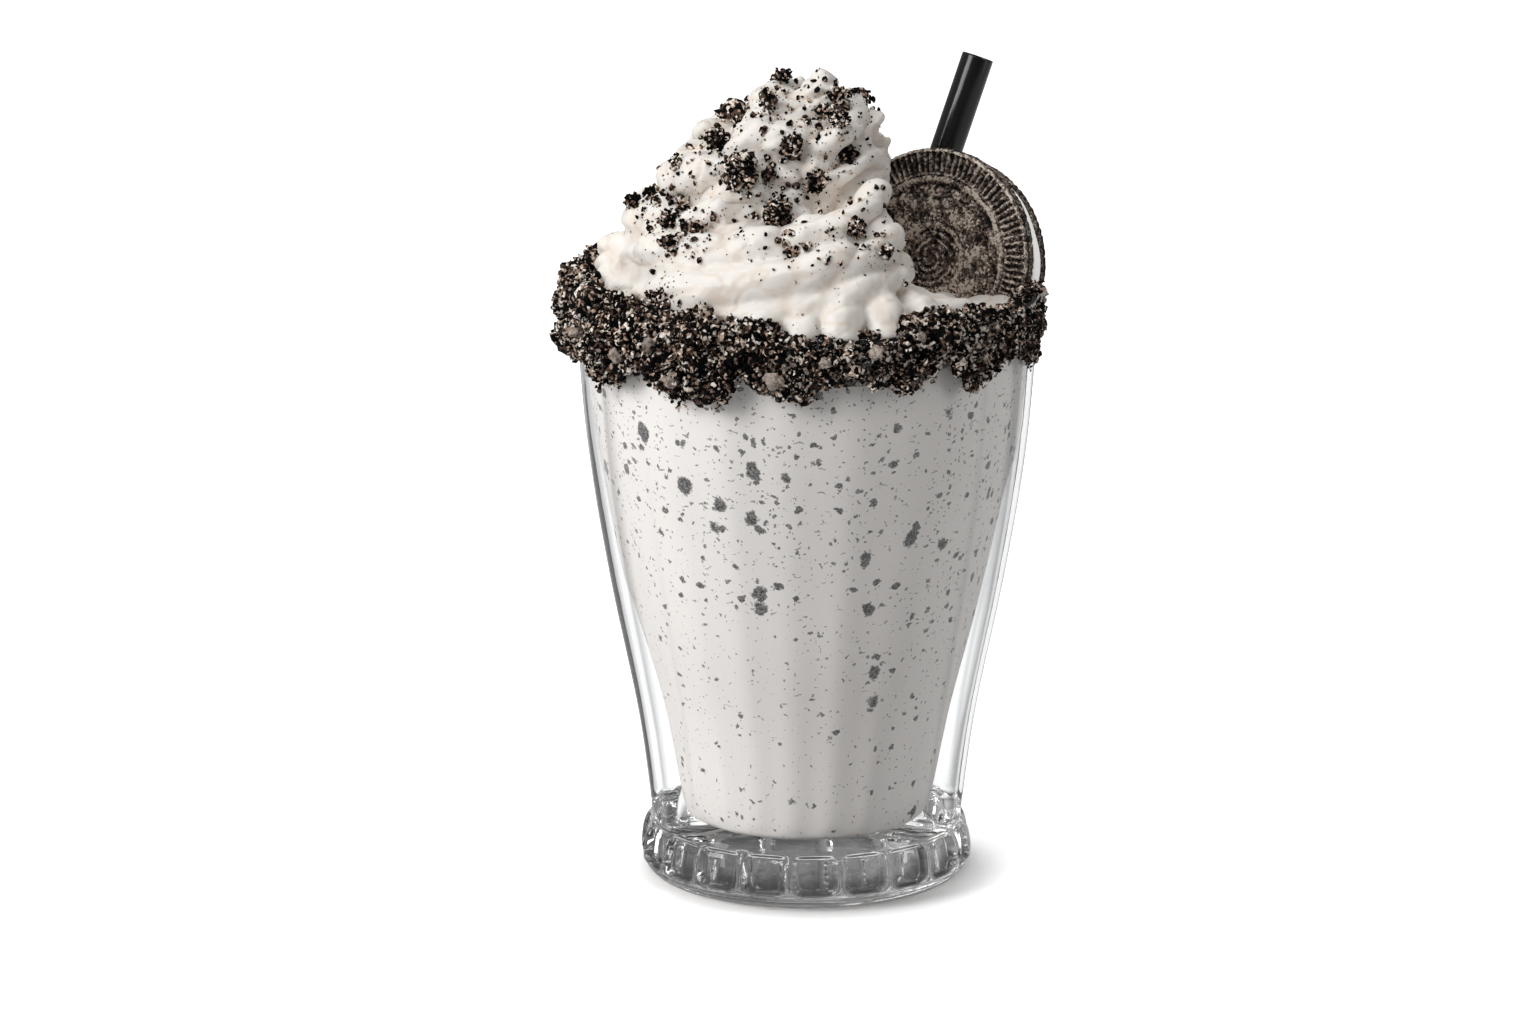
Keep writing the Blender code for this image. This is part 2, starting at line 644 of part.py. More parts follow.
def crust_section(angle):
    """The crust's outline across the rim at one angle, as radius and height."""
    bottom = CRUST_BOTTOM + sum(roughness_at(angle, 0, kind) for kind in EDGE_NOISES)
    top = CRUST_TOP + roughness_at(angle, 0, TOP_NOISE)
    outside = radius_between(BODY_OUTSIDE, bottom) + CRUST_CLEARANCE
    rim_outside = RIM_RADIUS + CRUST_CLEARANCE
    rim_inside = BODY_INSIDE[-1][1] - CRUST_CLEARANCE
    over_rim = RIM_HEIGHT + CRUST_CLEARANCE
    leg = RIM_HEIGHT - CRUST_INNER_LEG
    section = [(outside, bottom), (rim_outside, RIM_HEIGHT - CRUST_HUG), (rim_outside, over_rim)]
    section += [(rim_inside, over_rim), (rim_inside, leg), (CRUST_INNER_RADIUS, leg)]
    rough = [(radius, top - drop) for radius, drop in CRUST_CREST]
    rough += [(CRUST_OUTER_RADIUS - inwards, bottom + rise) for inwards, rise in CRUST_SIDE]
    rough.append((outside + CRUST_FOOT[0], bottom - CRUST_FOOT[1]))
    for row, (radius, height) in enumerate(rough):
        if row > 0:
            radius += roughness_at(angle, row, REACH_NOISE)
            height += roughness_at(angle, row, HEIGHT_NOISE)
        least = CRUST_INNER_RADIUS if height > RIM_HEIGHT else rim_outside + CRUST_LEAST_THICKNESS
        section.append((max(radius, least), height))
    return section


def make_crust(rooms):
    sections = [crust_section(math.tau * step / CRUST_STEPS) for step in range(CRUST_STEPS)]
    rows = []
    for place in range(len(sections[0])):
        row = []
        for step, section in enumerate(sections):
            radius, height = section[place]
            angle = math.tau * step / CRUST_STEPS
            row.append((radius * math.cos(angle), radius * math.sin(angle), height))
        rows.append(row)
    crust = add_object("crumb_rim", turned_solid("crumb_rim", rows, CRUST_STEPS, hollow=True))
    draw = np.random.default_rng(CRUST_SEED)
    spots = []
    for chunk in range(CRUST_CHUNKS):
        angle = math.tau * (chunk + draw.uniform(0.1, 0.9)) / CRUST_CHUNKS
        size = draw.uniform(*CHUNK_SIZES)
        height = draw.uniform(*CHUNK_HEIGHTS)
        reach = CRUST_OUTER_RADIUS - CHUNK_DEPTH * size
        spots.append((Vector((reach * math.cos(angle), reach * math.sin(angle), height)), size))
    # EXACT leaves edges with too many faces where the rough outline nearly touches a chunk
    fuse(crust, gather_crumbs("rim chunk", spots, draw), "MANIFOLD")
    for room in rooms:
        add_boolean(crust, "DIFFERENCE", room, solver="MANIFOLD")
    apply_modifiers(crust)
    keep_largest(crust)
    finish(crust, make_material("cookie crumbs", (0.045, 0.033, 0.027), 0.85))


def main():
    clear_scene()
    make_glass()
    cookie_room = cookie_cutter()
    straw_room = straw_cutter()
    rim_rooms = [wall_room("rim room", RIM_RADIUS + ROOM_WIDTH), wall_room("wall room"), crust_room()]
    make_cookie(rim_rooms[0])
    make_straw()
    make_shake((cookie_room, straw_room))
    make_cream((cookie_room, straw_room, rim_rooms[2]))
    make_crust((rim_rooms[1], cookie_room))
    for room in (cookie_room, straw_room, *rim_rooms):
        bpy.data.objects.remove(room, do_unlink=True)


main()
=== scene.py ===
import functools
import math

import bmesh
import bpy
import numpy as np
from mathutils import Matrix, Vector, noise
from mathutils.bvhtree import BVHTree


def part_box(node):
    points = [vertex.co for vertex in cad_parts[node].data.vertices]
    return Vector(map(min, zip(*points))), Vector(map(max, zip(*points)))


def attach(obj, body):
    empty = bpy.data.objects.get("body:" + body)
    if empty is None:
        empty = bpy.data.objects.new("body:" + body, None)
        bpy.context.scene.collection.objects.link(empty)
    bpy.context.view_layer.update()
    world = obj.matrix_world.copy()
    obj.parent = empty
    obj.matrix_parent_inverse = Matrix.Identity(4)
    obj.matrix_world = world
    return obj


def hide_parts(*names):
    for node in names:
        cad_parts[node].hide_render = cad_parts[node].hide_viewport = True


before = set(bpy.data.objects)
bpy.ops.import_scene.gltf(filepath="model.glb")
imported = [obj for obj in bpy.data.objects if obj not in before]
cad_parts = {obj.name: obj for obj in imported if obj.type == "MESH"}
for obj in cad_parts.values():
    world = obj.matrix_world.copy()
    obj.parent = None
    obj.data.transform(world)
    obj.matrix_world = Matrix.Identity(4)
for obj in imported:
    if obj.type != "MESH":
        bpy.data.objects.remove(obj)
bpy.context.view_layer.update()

# The room and the table
# The milkshake stands on a white table top in a bright room. The camera looks a little down on
# it from straight in front, two metres away.
MM = 0.001
CAMERA_PLACE = (-7.7, -2000.0, 594.7)
CAMERA_DOWN = math.radians(14.585)
LENS = 241.17
TABLE_SIZE = 9000.0
TABLE_DROP = 0.2
# Distance from the axis over which the table's glow fades in, from a painted shadow under the foot to full
# white
FOOT_PAINTED_SHADOW = (28.0, 43.0)
TABLE_GLOW = 0.68
# How much of the lit table shows straight through the glass, and in what it mirrors
TABLE_THROUGH = 0.4
TABLE_MIRRORED = 0.32

scene = bpy.context.scene
scene.view_settings.view_transform = "Standard"

camera_data = bpy.data.cameras.new("camera")
camera_data.lens = LENS
camera_data.sensor_width = 36.0
camera_data.clip_end = 20.0
camera = bpy.data.objects.new("camera", camera_data)
camera.location = Vector(CAMERA_PLACE) * MM
camera.rotation_euler = (math.pi / 2 - CAMERA_DOWN, 0.0, 0.0)
scene.collection.objects.link(camera)
scene.camera = camera


class Value:
    """A socket of a shader node. Sums and products of values add Math nodes."""

    def __init__(self, finish, socket):
        self.finish = finish
        self.socket = socket

    def join(self, operation, first, second):
        return self.finish.node("ShaderNodeMath", {"operation": operation}, {0: first, 1: second})

    def __add__(self, other):
        return self.join("ADD", self, other)

    def __radd__(self, other):
        return self.join("ADD", other, self)

    def __sub__(self, other):
        return self.join("SUBTRACT", self, other)

    def __rsub__(self, other):
        return self.join("SUBTRACT", other, self)

    def __mul__(self, other):
        return self.join("MULTIPLY", self, other)

    def __rmul__(self, other):
        return self.join("MULTIPLY", other, self)


class Finish:
    """A material built up from nodes."""

    def __init__(self, name):
        self.material = bpy.data.materials.new(name)
        self.material.use_nodes = True
        self.tree = self.material.node_tree
        self.tree.nodes.clear()

    def node(self, kind, settings=None, sockets=None, give=0):
        """Adds a node: its settings first, then a value or a link for each socket."""
        node = self.tree.nodes.new(kind)
        for name, value in (settings or {}).items():
            setattr(node, name, value)
        for name, value in (sockets or {}).items():
            if isinstance(value, Value):
                self.tree.links.new(value.socket, node.inputs[name])
            else:
                node.inputs[name].default_value = value
        return Value(self, node.outputs[give])

    def place(self):
        return self.node("ShaderNodeTexCoord", give="Object")

    def part(self, vector, axis):
        return self.node("ShaderNodeSeparateXYZ", None, {0: vector}, axis)

    def noted(self, name):
        """What the mesh notes under a name for each of its points."""
        return self.node("ShaderNodeAttribute", {"attribute_name": name}, give="Fac")

    def ray(self, kind):
        return self.node("ShaderNodeLightPath", give=kind)

    def stretched(self, vector, scale):
        return self.node("ShaderNodeVectorMath", {"operation": "MULTIPLY"}, {0: vector, 1: scale})

    def cloud(self, vector, size, detail=2.0, rough=0.5, give="Fac"):
        """Smooth noise with features of a size in millimetres."""
        sockets = {"Vector": vector, "Scale": 1 / (size * MM), "Detail": detail, "Roughness": rough}
        return self.node("ShaderNodeTexNoise", None, sockets, give)

    def cells(self, vector, size, give="Distance"):
        """Cells of a size in millimetres, each round a random point."""
        return self.node("ShaderNodeTexVoronoi", None, {"Vector": vector, "Scale": 1 / (size * MM)}, give)

    def drawn(self, vector, size):
        """A random value for each of the cells."""
        return self.node("ShaderNodeSeparateColor", None, {0: self.cells(vector, size, "Color")}, "Red")

    def ramp(self, value, low, high, start=0.0, end=1.0):
        """Goes smoothly from start to end as the value goes from low to high."""
        sockets = {"Value": value, "From Min": low, "From Max": high, "To Min": start, "To Max": end}
        return self.node("ShaderNodeMapRange", {"interpolation_type": "SMOOTHSTEP"}, sockets)

    def mixed(self, share, first, second):
        """A colour between two colours."""
        return self.node("ShaderNodeMix", {"data_type": "RGBA"}, {0: share, 6: first, 7: second}, give=2)

    def toned(self, value, darkest, tones):
        """A colour that goes from the darkest on to each tone, which starts and is full at a value."""
        tint = colour(*darkest)
        for low, high, tone in tones:
            tint = self.mixed(self.ramp(value, low, high), tint, colour(*tone))
        return tint

    def bump(self, height, depth, strength=1.0):
        """A normal from a height, whose full range is a depth in millimetres."""
        sockets = {"Height": height, "Distance": depth * MM, "Strength": strength}
        return self.node("ShaderNodeBump", None, sockets, "Normal")

    def blend(self, share, first, second):
        """A surface between two surfaces."""
        return self.node("ShaderNodeMixShader", None, {0: share, 1: first, 2: second})

    def surface(self, kind, sockets):
        return self.node("ShaderNodeBsdf" + kind, None, sockets)

    def done(self, surface):
        output = self.tree.nodes.new("ShaderNodeOutputMaterial")
        self.tree.links.new(surface.socket, output.inputs["Surface"])
        return self.material


def colour(red, green, blue):
    return (red, green, blue, 1.0)


def table_finish():
    """White and lit from below to show only a soft shadow, partly painted round the foot, but grey in what it
    reflects.
    """
    finish = Finish("table")
    mottled = finish.cloud(finish.place(), 90.0)
    grey = finish.mixed(mottled, colour(0.40, 0.40, 0.40), colour(0.44, 0.44, 0.44))
    white = finish.mixed(mottled, colour(0.93, 0.93, 0.93), colour(0.97, 0.97, 0.97))
    glow = finish.node("ShaderNodeEmission", None, {"Color": colour(1, 1, 1), "Strength": TABLE_GLOW})
    paper = finish.surface("Diffuse", {"Color": white})
    glowing = finish.node("ShaderNodeAddShader", None, {0: glow, 1: paper})
    thrown = finish.surface("Diffuse", {"Color": grey})
    seen = finish.ray("Is Camera Ray")
    unscattered = {0: finish.ray("Diffuse Depth"), 1: 0.5}
    straight = finish.node("ShaderNodeMath", {"operation": "LESS_THAN"}, unscattered)
    away = finish.node("ShaderNodeVectorMath", {"operation": "LENGTH"}, {0: finish.place()}, "Value")
    # Painted shadow: near the foot the table loses its glow, and in what the glass shows it turns grey
    clear = finish.ramp(away, FOOT_PAINTED_SHADOW[0] * MM, FOOT_PAINTED_SHADOW[1] * MM)
    lit = finish.blend(clear, paper, glowing)
    partly = TABLE_THROUGH * finish.ray("Is Transmission Ray") + TABLE_MIRRORED * finish.ray("Is Glossy Ray")
    return finish.done(finish.blend(seen + straight * clear * partly, thrown, lit))


half = TABLE_SIZE / 2 * MM
table_mesh = bpy.data.meshes.new("table")
sides = ((-1, -1), (1, -1), (1, 1), (-1, 1))
table_mesh.from_pydata([(x * half, y * half, -TABLE_DROP * MM) for x, y in sides], [], [(0, 1, 2, 3)])
table_mesh.materials.append(table_finish())
table = bpy.data.objects.new("table", table_mesh)
scene.collection.objects.link(table)

# Light
# A large soft light stands at the upper left in front, tall narrow ones at both sides draw the
# long lines on the glass, and a wide one fills from above.
# How bright the room is at its two sides
ROOM_LEFT = 0.36
ROOM_RIGHT = 0.06
# Name, place and target in millimetres, width and height, and strength in watts
LIGHTS = (
    ("key", (-1270, -900, 950), (0, 0, 90), (900, 900), 18.0),
    ("strip", (-900, -420, 260), (0, 0, 80), (120, 700), 0.9),
    ("right strip", (900, -260, 320), (0, 0, 80), (120, 700), 1.5),
    ("top", (-250, 150, 1500), (0, 0, 110), (1000, 1000), 8.5),
)

for name, light_place, target, (width, height), watts in LIGHTS:
    light_data = bpy.data.lights.new(name, "AREA")
    light_data.shape = "RECTANGLE"
    light_data.size = width * MM
    light_data.size_y = height * MM
    light_data.energy = watts
    light = bpy.data.objects.new(name, light_data)
    light.location = Vector(light_place) * MM
    towards = Vector(target) - Vector(light_place)
    light.rotation_euler = towards.to_track_quat("-Z", "Y").to_euler()
    scene.collection.objects.link(light)

world = bpy.data.worlds.new("room")
world.use_nodes = True
room = world.node_tree
direction = room.nodes.new("ShaderNodeTexCoord")
sideways = room.nodes.new("ShaderNodeSeparateXYZ")
fall = room.nodes.new("ShaderNodeMapRange")
fall.inputs["From Min"].default_value = -1.0
fall.inputs["To Min"].default_value = ROOM_LEFT
fall.inputs["To Max"].default_value = ROOM_RIGHT
room.links.new(direction.outputs["Generated"], sideways.inputs["Vector"])
room.links.new(sideways.outputs["X"], fall.inputs["Value"])
room.links.new(fall.outputs["Result"], room.nodes["Background"].inputs["Strength"])
room.nodes["Background"].inputs["Color"].default_value = colour(1.0, 1.0, 1.0)
scene.world = world

# Glass
# A thick pressed soda glass: twenty soft flutes round a wall that opens towards the rim, on a
# heavy foot with a hollow window under each flute. It is one piece and stands on its flat foot.
RIM_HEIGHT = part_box("glass")[1].z / MM
RIM_RADIUS = 46.8
RIM_ROUND = 0.9
NECK_HEIGHT = 11.9
NECK_RADIUS = 31.2
FOOT_RADIUS = 33.4
FOOT_BASE_RADIUS = 29.6
# The floor of the hollow, and how high and how wide its rounded corner is
FLOOR_HEIGHT = 12.5
FLOOR_BEND = 2.0
CORNER = 1.6
FLUTES = 20
FLUTE_STEPS = 16
FIRST_RIB = math.radians(12.0 - 90.0)
FLUTE_DEPTH = 0.45
# How far over the neck and under the rim the flutes start and end
FLUTE_START = 3.0
FLUTE_END = (8.0, 2.0)
WINDOW_DEPTH = 1.9
WINDOW_LOW = 3.7
WINDOW_HALF_WIDTH = 4.3
WINDOW_CORNER = 2.2
WINDOW_EDGE = 1.1
# How far under the neck the windows end
WINDOW_TOP = 1.6
# How dark the painted shade of a window is: at its bottom, how much less at its top, at its left side and at
# its edge
WINDOW_SHADES = (0.95, 0.7, 0.55, 0.5)
# The groove round the foot under the windows
BEAD_HEIGHT = 2.9
BEAD_DEPTH = 0.28
BEAD_WIDTH = 0.42
FOOT_ROWS = 54
# How strongly the thin wall and the heavy foot bend what is seen through them
WALL_BEND = 1.035
FOOT_BEND = 1.45
WALL_TINT = (0.975, 0.98, 0.98)
# The colour of the painted shade along the ribs
RIB_PAINTED_SHADE = (0.34, 0.345, 0.35)
# The colour of the painted shade in the windows
WINDOW_PAINTED_SHADE = (0.15, 0.152, 0.155)
SHADOW_TINT = (0.96, 0.965, 0.965)
# Height over the neck within which the foot goes over into the wall
NECK_BLEND = 0.6
# The most that the wall mirrors, and how much light the foot lets through to the table
WALL_MIRROR = 0.45
FOOT_SHADOW = 0.4
# Height in millimetres of the waves that the mould left in the foot
FOOT_WAVES = 0.12
WALL_ROWS = 60
# The outlines of the foot, of the wall and of its hollow: height and radius
FOOT_OUTSIDE = (
    (0.0, FOOT_BASE_RADIUS - 0.6), (0.7, FOOT_BASE_RADIUS + 1.4), (2.4, FOOT_RADIUS - 0.8),
    (4.0, FOOT_RADIUS), (6.5, FOOT_RADIUS), (9.3, FOOT_RADIUS - 0.5), (11.2, NECK_RADIUS + 0.7),
    (NECK_HEIGHT, NECK_RADIUS),
)
BODY_OUTSIDE = (
    (NECK_HEIGHT, NECK_RADIUS), (34.4, 34.3), (63.7, 40.2), (90.0, 44.3), (RIM_HEIGHT, RIM_RADIUS),
)
BODY_INSIDE = (
    (FLOOR_HEIGHT + FLOOR_BEND, 23.4), (34.0, 27.2), (55.0, 32.8), (76.0, 37.4), (97.0, 41.4),
    (RIM_HEIGHT, 43.4),
)


def curve_through(points, steps):
    """Points along a smooth curve through the given ones, a number of steps for each stretch."""
    known = [np.array(point, float) for point in points]
    known = [2 * known[0] - known[1], *known, 2 * known[-1] - known[-2]]
    found = []
    for before, start, end, after in zip(known, known[1:], known[2:], known[3:]):
        for step in range(steps):
            t = step / steps
            bend = (2 * before - 5 * start + 4 * end - after) * t**2
            bend += (3 * start - before - 3 * end + after) * t**3
            found.append(0.5 * (2 * start + (end - before) * t + bend))
    found.append(known[-2])
    return np.array(found)


@functools.cache
def smooth_outline(outline):
    return curve_through(outline, 16)


def radius_at(outline, height):
    """The radius of a smooth outline at a height, or at many."""
    curve = smooth_outline(outline)
    return np.interp(height, curve[:, 0], curve[:, 1])


def smooth_step(values, low, high):
    """Zero up to the low value, one from the high value, and smooth between."""
    t = np.clip((values - low) / (high - low), 0.0, 1.0)
    return t * t * (3 - 2 * t)


def add_piece(name, mesh, material, replaced=None, sharp=None):
    """Places a finished mesh, made in millimetres, on the milkshake."""
    mesh.transform(Matrix.Scale(MM, 4))
    mesh.materials.clear()
    mesh.materials.append(material)
    mesh.shade_smooth()
    if sharp:
        mesh.set_sharp_from_angle(angle=math.radians(sharp))
    piece = bpy.data.objects.new(name, mesh)
    scene.collection.objects.link(piece)
    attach(piece, "root")
    if replaced:
        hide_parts(replaced)
    return piece


def turned(name, rings, hollow=False):
    """A closed skin over rings of points, from the lowest outside to the last inside."""
    rings = np.asarray(rings, float)
    count, steps = rings.shape[:2]
    numbers = np.arange(count * steps).reshape(count, steps)
    if hollow:
        below, above = numbers, np.roll(numbers, -1, axis=0)
    else:
        below, above = numbers[:-1], numbers[1:]
    quads = np.stack([below, np.roll(below, -1, axis=1), np.roll(above, -1, axis=1), above], axis=-1)
    faces = quads.reshape(-1, 4).tolist()
    if not hollow:
        faces += [numbers[0, ::-1].tolist(), numbers[-1].tolist()]
    mesh = bpy.data.meshes.new(name)
    mesh.from_pydata(rings.reshape(-1, 3).tolist(), [], faces)
    mesh.update()
    return mesh


def round_rings(radii, heights, angles):
    """Rings about the axis. Radii and heights are one for each ring, or one for each point."""
    count = len(heights)
    radii = np.asarray(radii, float).reshape(count, -1)
    heights = np.asarray(heights, float).reshape(count, -1) * np.ones(len(angles))
    return np.stack([radii * np.cos(angles), radii * np.sin(angles), heights], axis=-1)


def note(mesh, name, values):
    """Notes a value for each point of the mesh, for its finish to read."""
    values = np.asarray(values, np.float32).ravel()
    mesh.attributes.new(name, "FLOAT", "POINT").data.foreach_set("value", values)


def glass_mesh():
    """The whole glass, fluted outside and smooth inside."""
    angles = FIRST_RIB + np.linspace(0.0, math.tau, FLUTES * FLUTE_STEPS, endpoint=False)
    across = ((angles - FIRST_RIB) * FLUTES / math.tau) % 1.0
    hollow = np.sin(math.pi * across) ** 2
    foot_heights = np.linspace(0.0, NECK_HEIGHT, FOOT_ROWS)
    foot = radius_at(FOOT_OUTSIDE, foot_heights)
    foot -= BEAD_DEPTH * np.exp(-(((foot_heights - BEAD_HEIGHT) / BEAD_WIDTH) ** 2))
    from_middle = np.abs(across - 0.5) * math.tau / FLUTES * FOOT_RADIUS
    over_side = np.maximum(from_middle - WINDOW_HALF_WIDTH + WINDOW_CORNER, 0.0)[None, :]
    over_foot = np.maximum(WINDOW_LOW + WINDOW_CORNER - foot_heights, 0.0)[:, None]
    outside_window = np.hypot(over_side, over_foot) - WINDOW_CORNER
    window = smooth_step(-outside_window, -WINDOW_EDGE / 2, WINDOW_EDGE / 2)
    window *= 1.0 - smooth_step(foot_heights, NECK_HEIGHT - WINDOW_TOP, NECK_HEIGHT)[:, None]
    foot_radii = foot[:, None] - WINDOW_DEPTH * window * (0.75 + 0.25 * hollow[None, :])
    wall_heights = np.linspace(NECK_HEIGHT, RIM_HEIGHT - RIM_ROUND, WALL_ROWS)[1:]
    fade = smooth_step(wall_heights, NECK_HEIGHT, NECK_HEIGHT + FLUTE_START)
    fade *= 1.0 - smooth_step(wall_heights, *(RIM_HEIGHT - under for under in FLUTE_END))
    flutes = FLUTE_DEPTH * fade[:, None] * hollow[None, :]
    wall_radii = radius_at(BODY_OUTSIDE, wall_heights)[:, None] - flutes
    mouth = BODY_INSIDE[-1][1]
    turns = np.linspace(0.0, math.pi / 2, 7)[1:]
    lip_outside = [RIM_RADIUS - RIM_ROUND * (1 - math.cos(turn)) for turn in turns]
    lip_inside = [mouth + RIM_ROUND * (1 - math.cos(turn)) for turn in turns[::-1]]
    lip_heights = [RIM_HEIGHT - RIM_ROUND * (1 - math.sin(turn)) for turn in turns]
    inside_heights = np.linspace(RIM_HEIGHT - RIM_ROUND, BODY_INSIDE[0][0], WALL_ROWS)
    inside_radii = radius_at(BODY_INSIDE, inside_heights)
    bend = [BODY_INSIDE[0][1] - CORNER * (1 - math.cos(turn)) for turn in turns]
    bend_heights = [BODY_INSIDE[0][0] - FLOOR_BEND * math.sin(turn) for turn in turns]
    rings = [
        round_rings(foot_radii, foot_heights, angles),
        round_rings(wall_radii, wall_heights, angles),
        round_rings(lip_outside, lip_heights, angles),
        round_rings(lip_inside, lip_heights[::-1], angles),
        round_rings(inside_radii, inside_heights, angles),
        round_rings(bend, bend_heights, angles),
    ]
    mesh = turned("glass_wall", np.concatenate(rings))
    # Where the finish paints shade along the ribs
    ribs = np.zeros((len(mesh.vertices) // len(angles), len(angles)))
    ribs[FOOT_ROWS:FOOT_ROWS + WALL_ROWS - 1] = (1.0 - hollow) ** 2
    note(mesh, "rib", ribs)
    # Painted shade in the windows: darkest at their bottom, lighter towards their top and at their left side,
    # darker along their edge
    bottom, less, left, edge = WINDOW_SHADES
    shades = np.zeros_like(ribs)
    rise = smooth_step(foot_heights, WINDOW_LOW + 0.5, NECK_HEIGHT - 2.0)[:, None]
    border = 4.0 * window * (1.0 - window)
    shades[:FOOT_ROWS] = window * (bottom - less * rise) * (left + (1.0 - left) * across[None, :])
    shades[:FOOT_ROWS] += edge * border
    note(mesh, "shade", shades)
    return mesh


def glass_finish():
    """Clear glass with the faint waves of pressed glass, and painted shade that darkens its ribs and its
    windows.
    """
    finish = Finish("clear pressed glass")
    place = finish.place()
    waves = finish.cloud(finish.stretched(place, (1.0, 1.0, 0.35)), 7.0, 2.0)
    normal = finish.bump(waves, 0.22, 0.5)
    folds = finish.cloud(finish.stretched(place, (1.0, 1.0, 0.7)), 5.0, 2.0)
    uneven = finish.bump(folds, FOOT_WAVES)
    thin = {"Color": colour(*WALL_TINT), "Roughness": 0.0, "IOR": WALL_BEND, "Normal": normal}
    through_wall = finish.surface("Refraction", thin)
    painted_rib_shade = finish.surface("Refraction", {**thin, "Color": colour(*RIB_PAINTED_SHADE)})
    # Painted shade: the ribs turn darker where they slant away from the view
    slanted = finish.ramp(finish.node("ShaderNodeLayerWeight", None, {"Blend": 0.5}, "Facing"), 0.36, 0.75)
    streaked = 0.75 * slanted * finish.ramp(finish.noted("rib") + 0.5 * waves, 0.45, 1.15)
    through_wall = finish.blend(streaked, through_wall, painted_rib_shade)
    heavy = {**thin, "IOR": FOOT_BEND, "Normal": uneven}
    light_foot = finish.surface("Refraction", {**heavy, "Color": colour(1, 1, 1)})
    foot_with_painted_shade = finish.surface("Refraction", {**heavy, "Color": colour(*WINDOW_PAINTED_SHADE)})
    # Painted shade in the windows, mottled by the folds
    shaded = 0.75 * finish.ramp(finish.noted("shade") + 1.1 * folds, 0.75, 1.5)
    through_foot = finish.blend(shaded, light_foot, foot_with_painted_shade)
    neck = [(NECK_HEIGHT + way * NECK_BLEND) * MM for way in (-1, 1)]
    in_wall = finish.ramp(finish.part(place, "Z"), *neck)
    clear = finish.blend(in_wall, through_foot, through_wall)
    gloss = {"Color": colour(1, 1, 1), "Roughness": 0.04, "Normal": normal}
    mirror_wall = finish.surface("Glossy", gloss)
    mirror_foot = finish.surface("Glossy", {**gloss, "Normal": uneven})
    mirror = finish.blend(in_wall, mirror_foot, mirror_wall)
    inside = finish.ray("Is Transmission Ray")
    share = finish.node("ShaderNodeFresnel", None, {"IOR": 1.5}) * (1.0 - inside * in_wall)
    most = 1.0 - (1.0 - WALL_MIRROR) * in_wall
    share = finish.node("ShaderNodeMath", {"operation": "MINIMUM"}, {0: share, 1: most})
    solid = finish.blend(share, clear, mirror)
    open_way = finish.surface("Transparent", {"Color": colour(*SHADOW_TINT)})
    passed = finish.ray("Is Shadow Ray") * (FOOT_SHADOW + (1.0 - FOOT_SHADOW) * in_wall)
    return finish.done(finish.blend(passed, solid, open_way))


add_piece("glass_wall", glass_mesh(), glass_finish(), "glass")

# Shake
# The thick shake of milk, ice cream and ground cookies fills the glass to just under the rim. It
# was poured, so it touches the wall everywhere and shows its cookie specks through the glass.
SHAKE_LEVEL = 112.5
# How far the shake reaches into the wall, and how much further behind each rib
SHAKE_REACH = 0.12
SHAKE_WAVE = 0.34
SHAKE_STEPS = 240


def shake_mesh():
    """The shake, as it fills the glass."""
    angles = np.linspace(0.0, math.tau, SHAKE_STEPS, endpoint=False)
    turns = np.linspace(math.pi / 2, 0.0, 7)[:-1]
    low_radii = [BODY_INSIDE[0][1] + SHAKE_REACH - CORNER * (1 - math.cos(turn)) for turn in turns]
    low_heights = [BODY_INSIDE[0][0] - (FLOOR_BEND + SHAKE_REACH) * math.sin(turn) for turn in turns]
    heights = np.linspace(BODY_INSIDE[0][0], SHAKE_LEVEL, WALL_ROWS)
    across = ((angles - FIRST_RIB) * FLUTES / math.tau) % 1.0
    waves = SHAKE_WAVE * np.cos(math.pi * across) ** 2
    radii = (radius_at(BODY_INSIDE, heights) + SHAKE_REACH)[:, None] + waves
    low = round_rings(low_radii, low_heights, angles)
    return turned("shake", np.concatenate([low, round_rings(radii, heights, angles)]))


# How far the outlines of the specks are torn sideways
SPECK_TEAR = 2.4
# Size of the cells, how they are stretched, the most that a speck fills of its cell, how dark it is
SPECK_KINDS = (
    (7.5, (1.0, 1.0, 0.8), 0.22, 1.0),
    (3.8, (1.0, 1.0, 1.15), 0.27, 0.97),
    (2.3, (1.0, 1.0, 1.0), 0.25, 0.9),
    (2.0, (0.45, 0.45, 2.0), 0.18, 0.7),
    (1.05, (1.0, 1.0, 1.0), 0.26, 0.8),
)


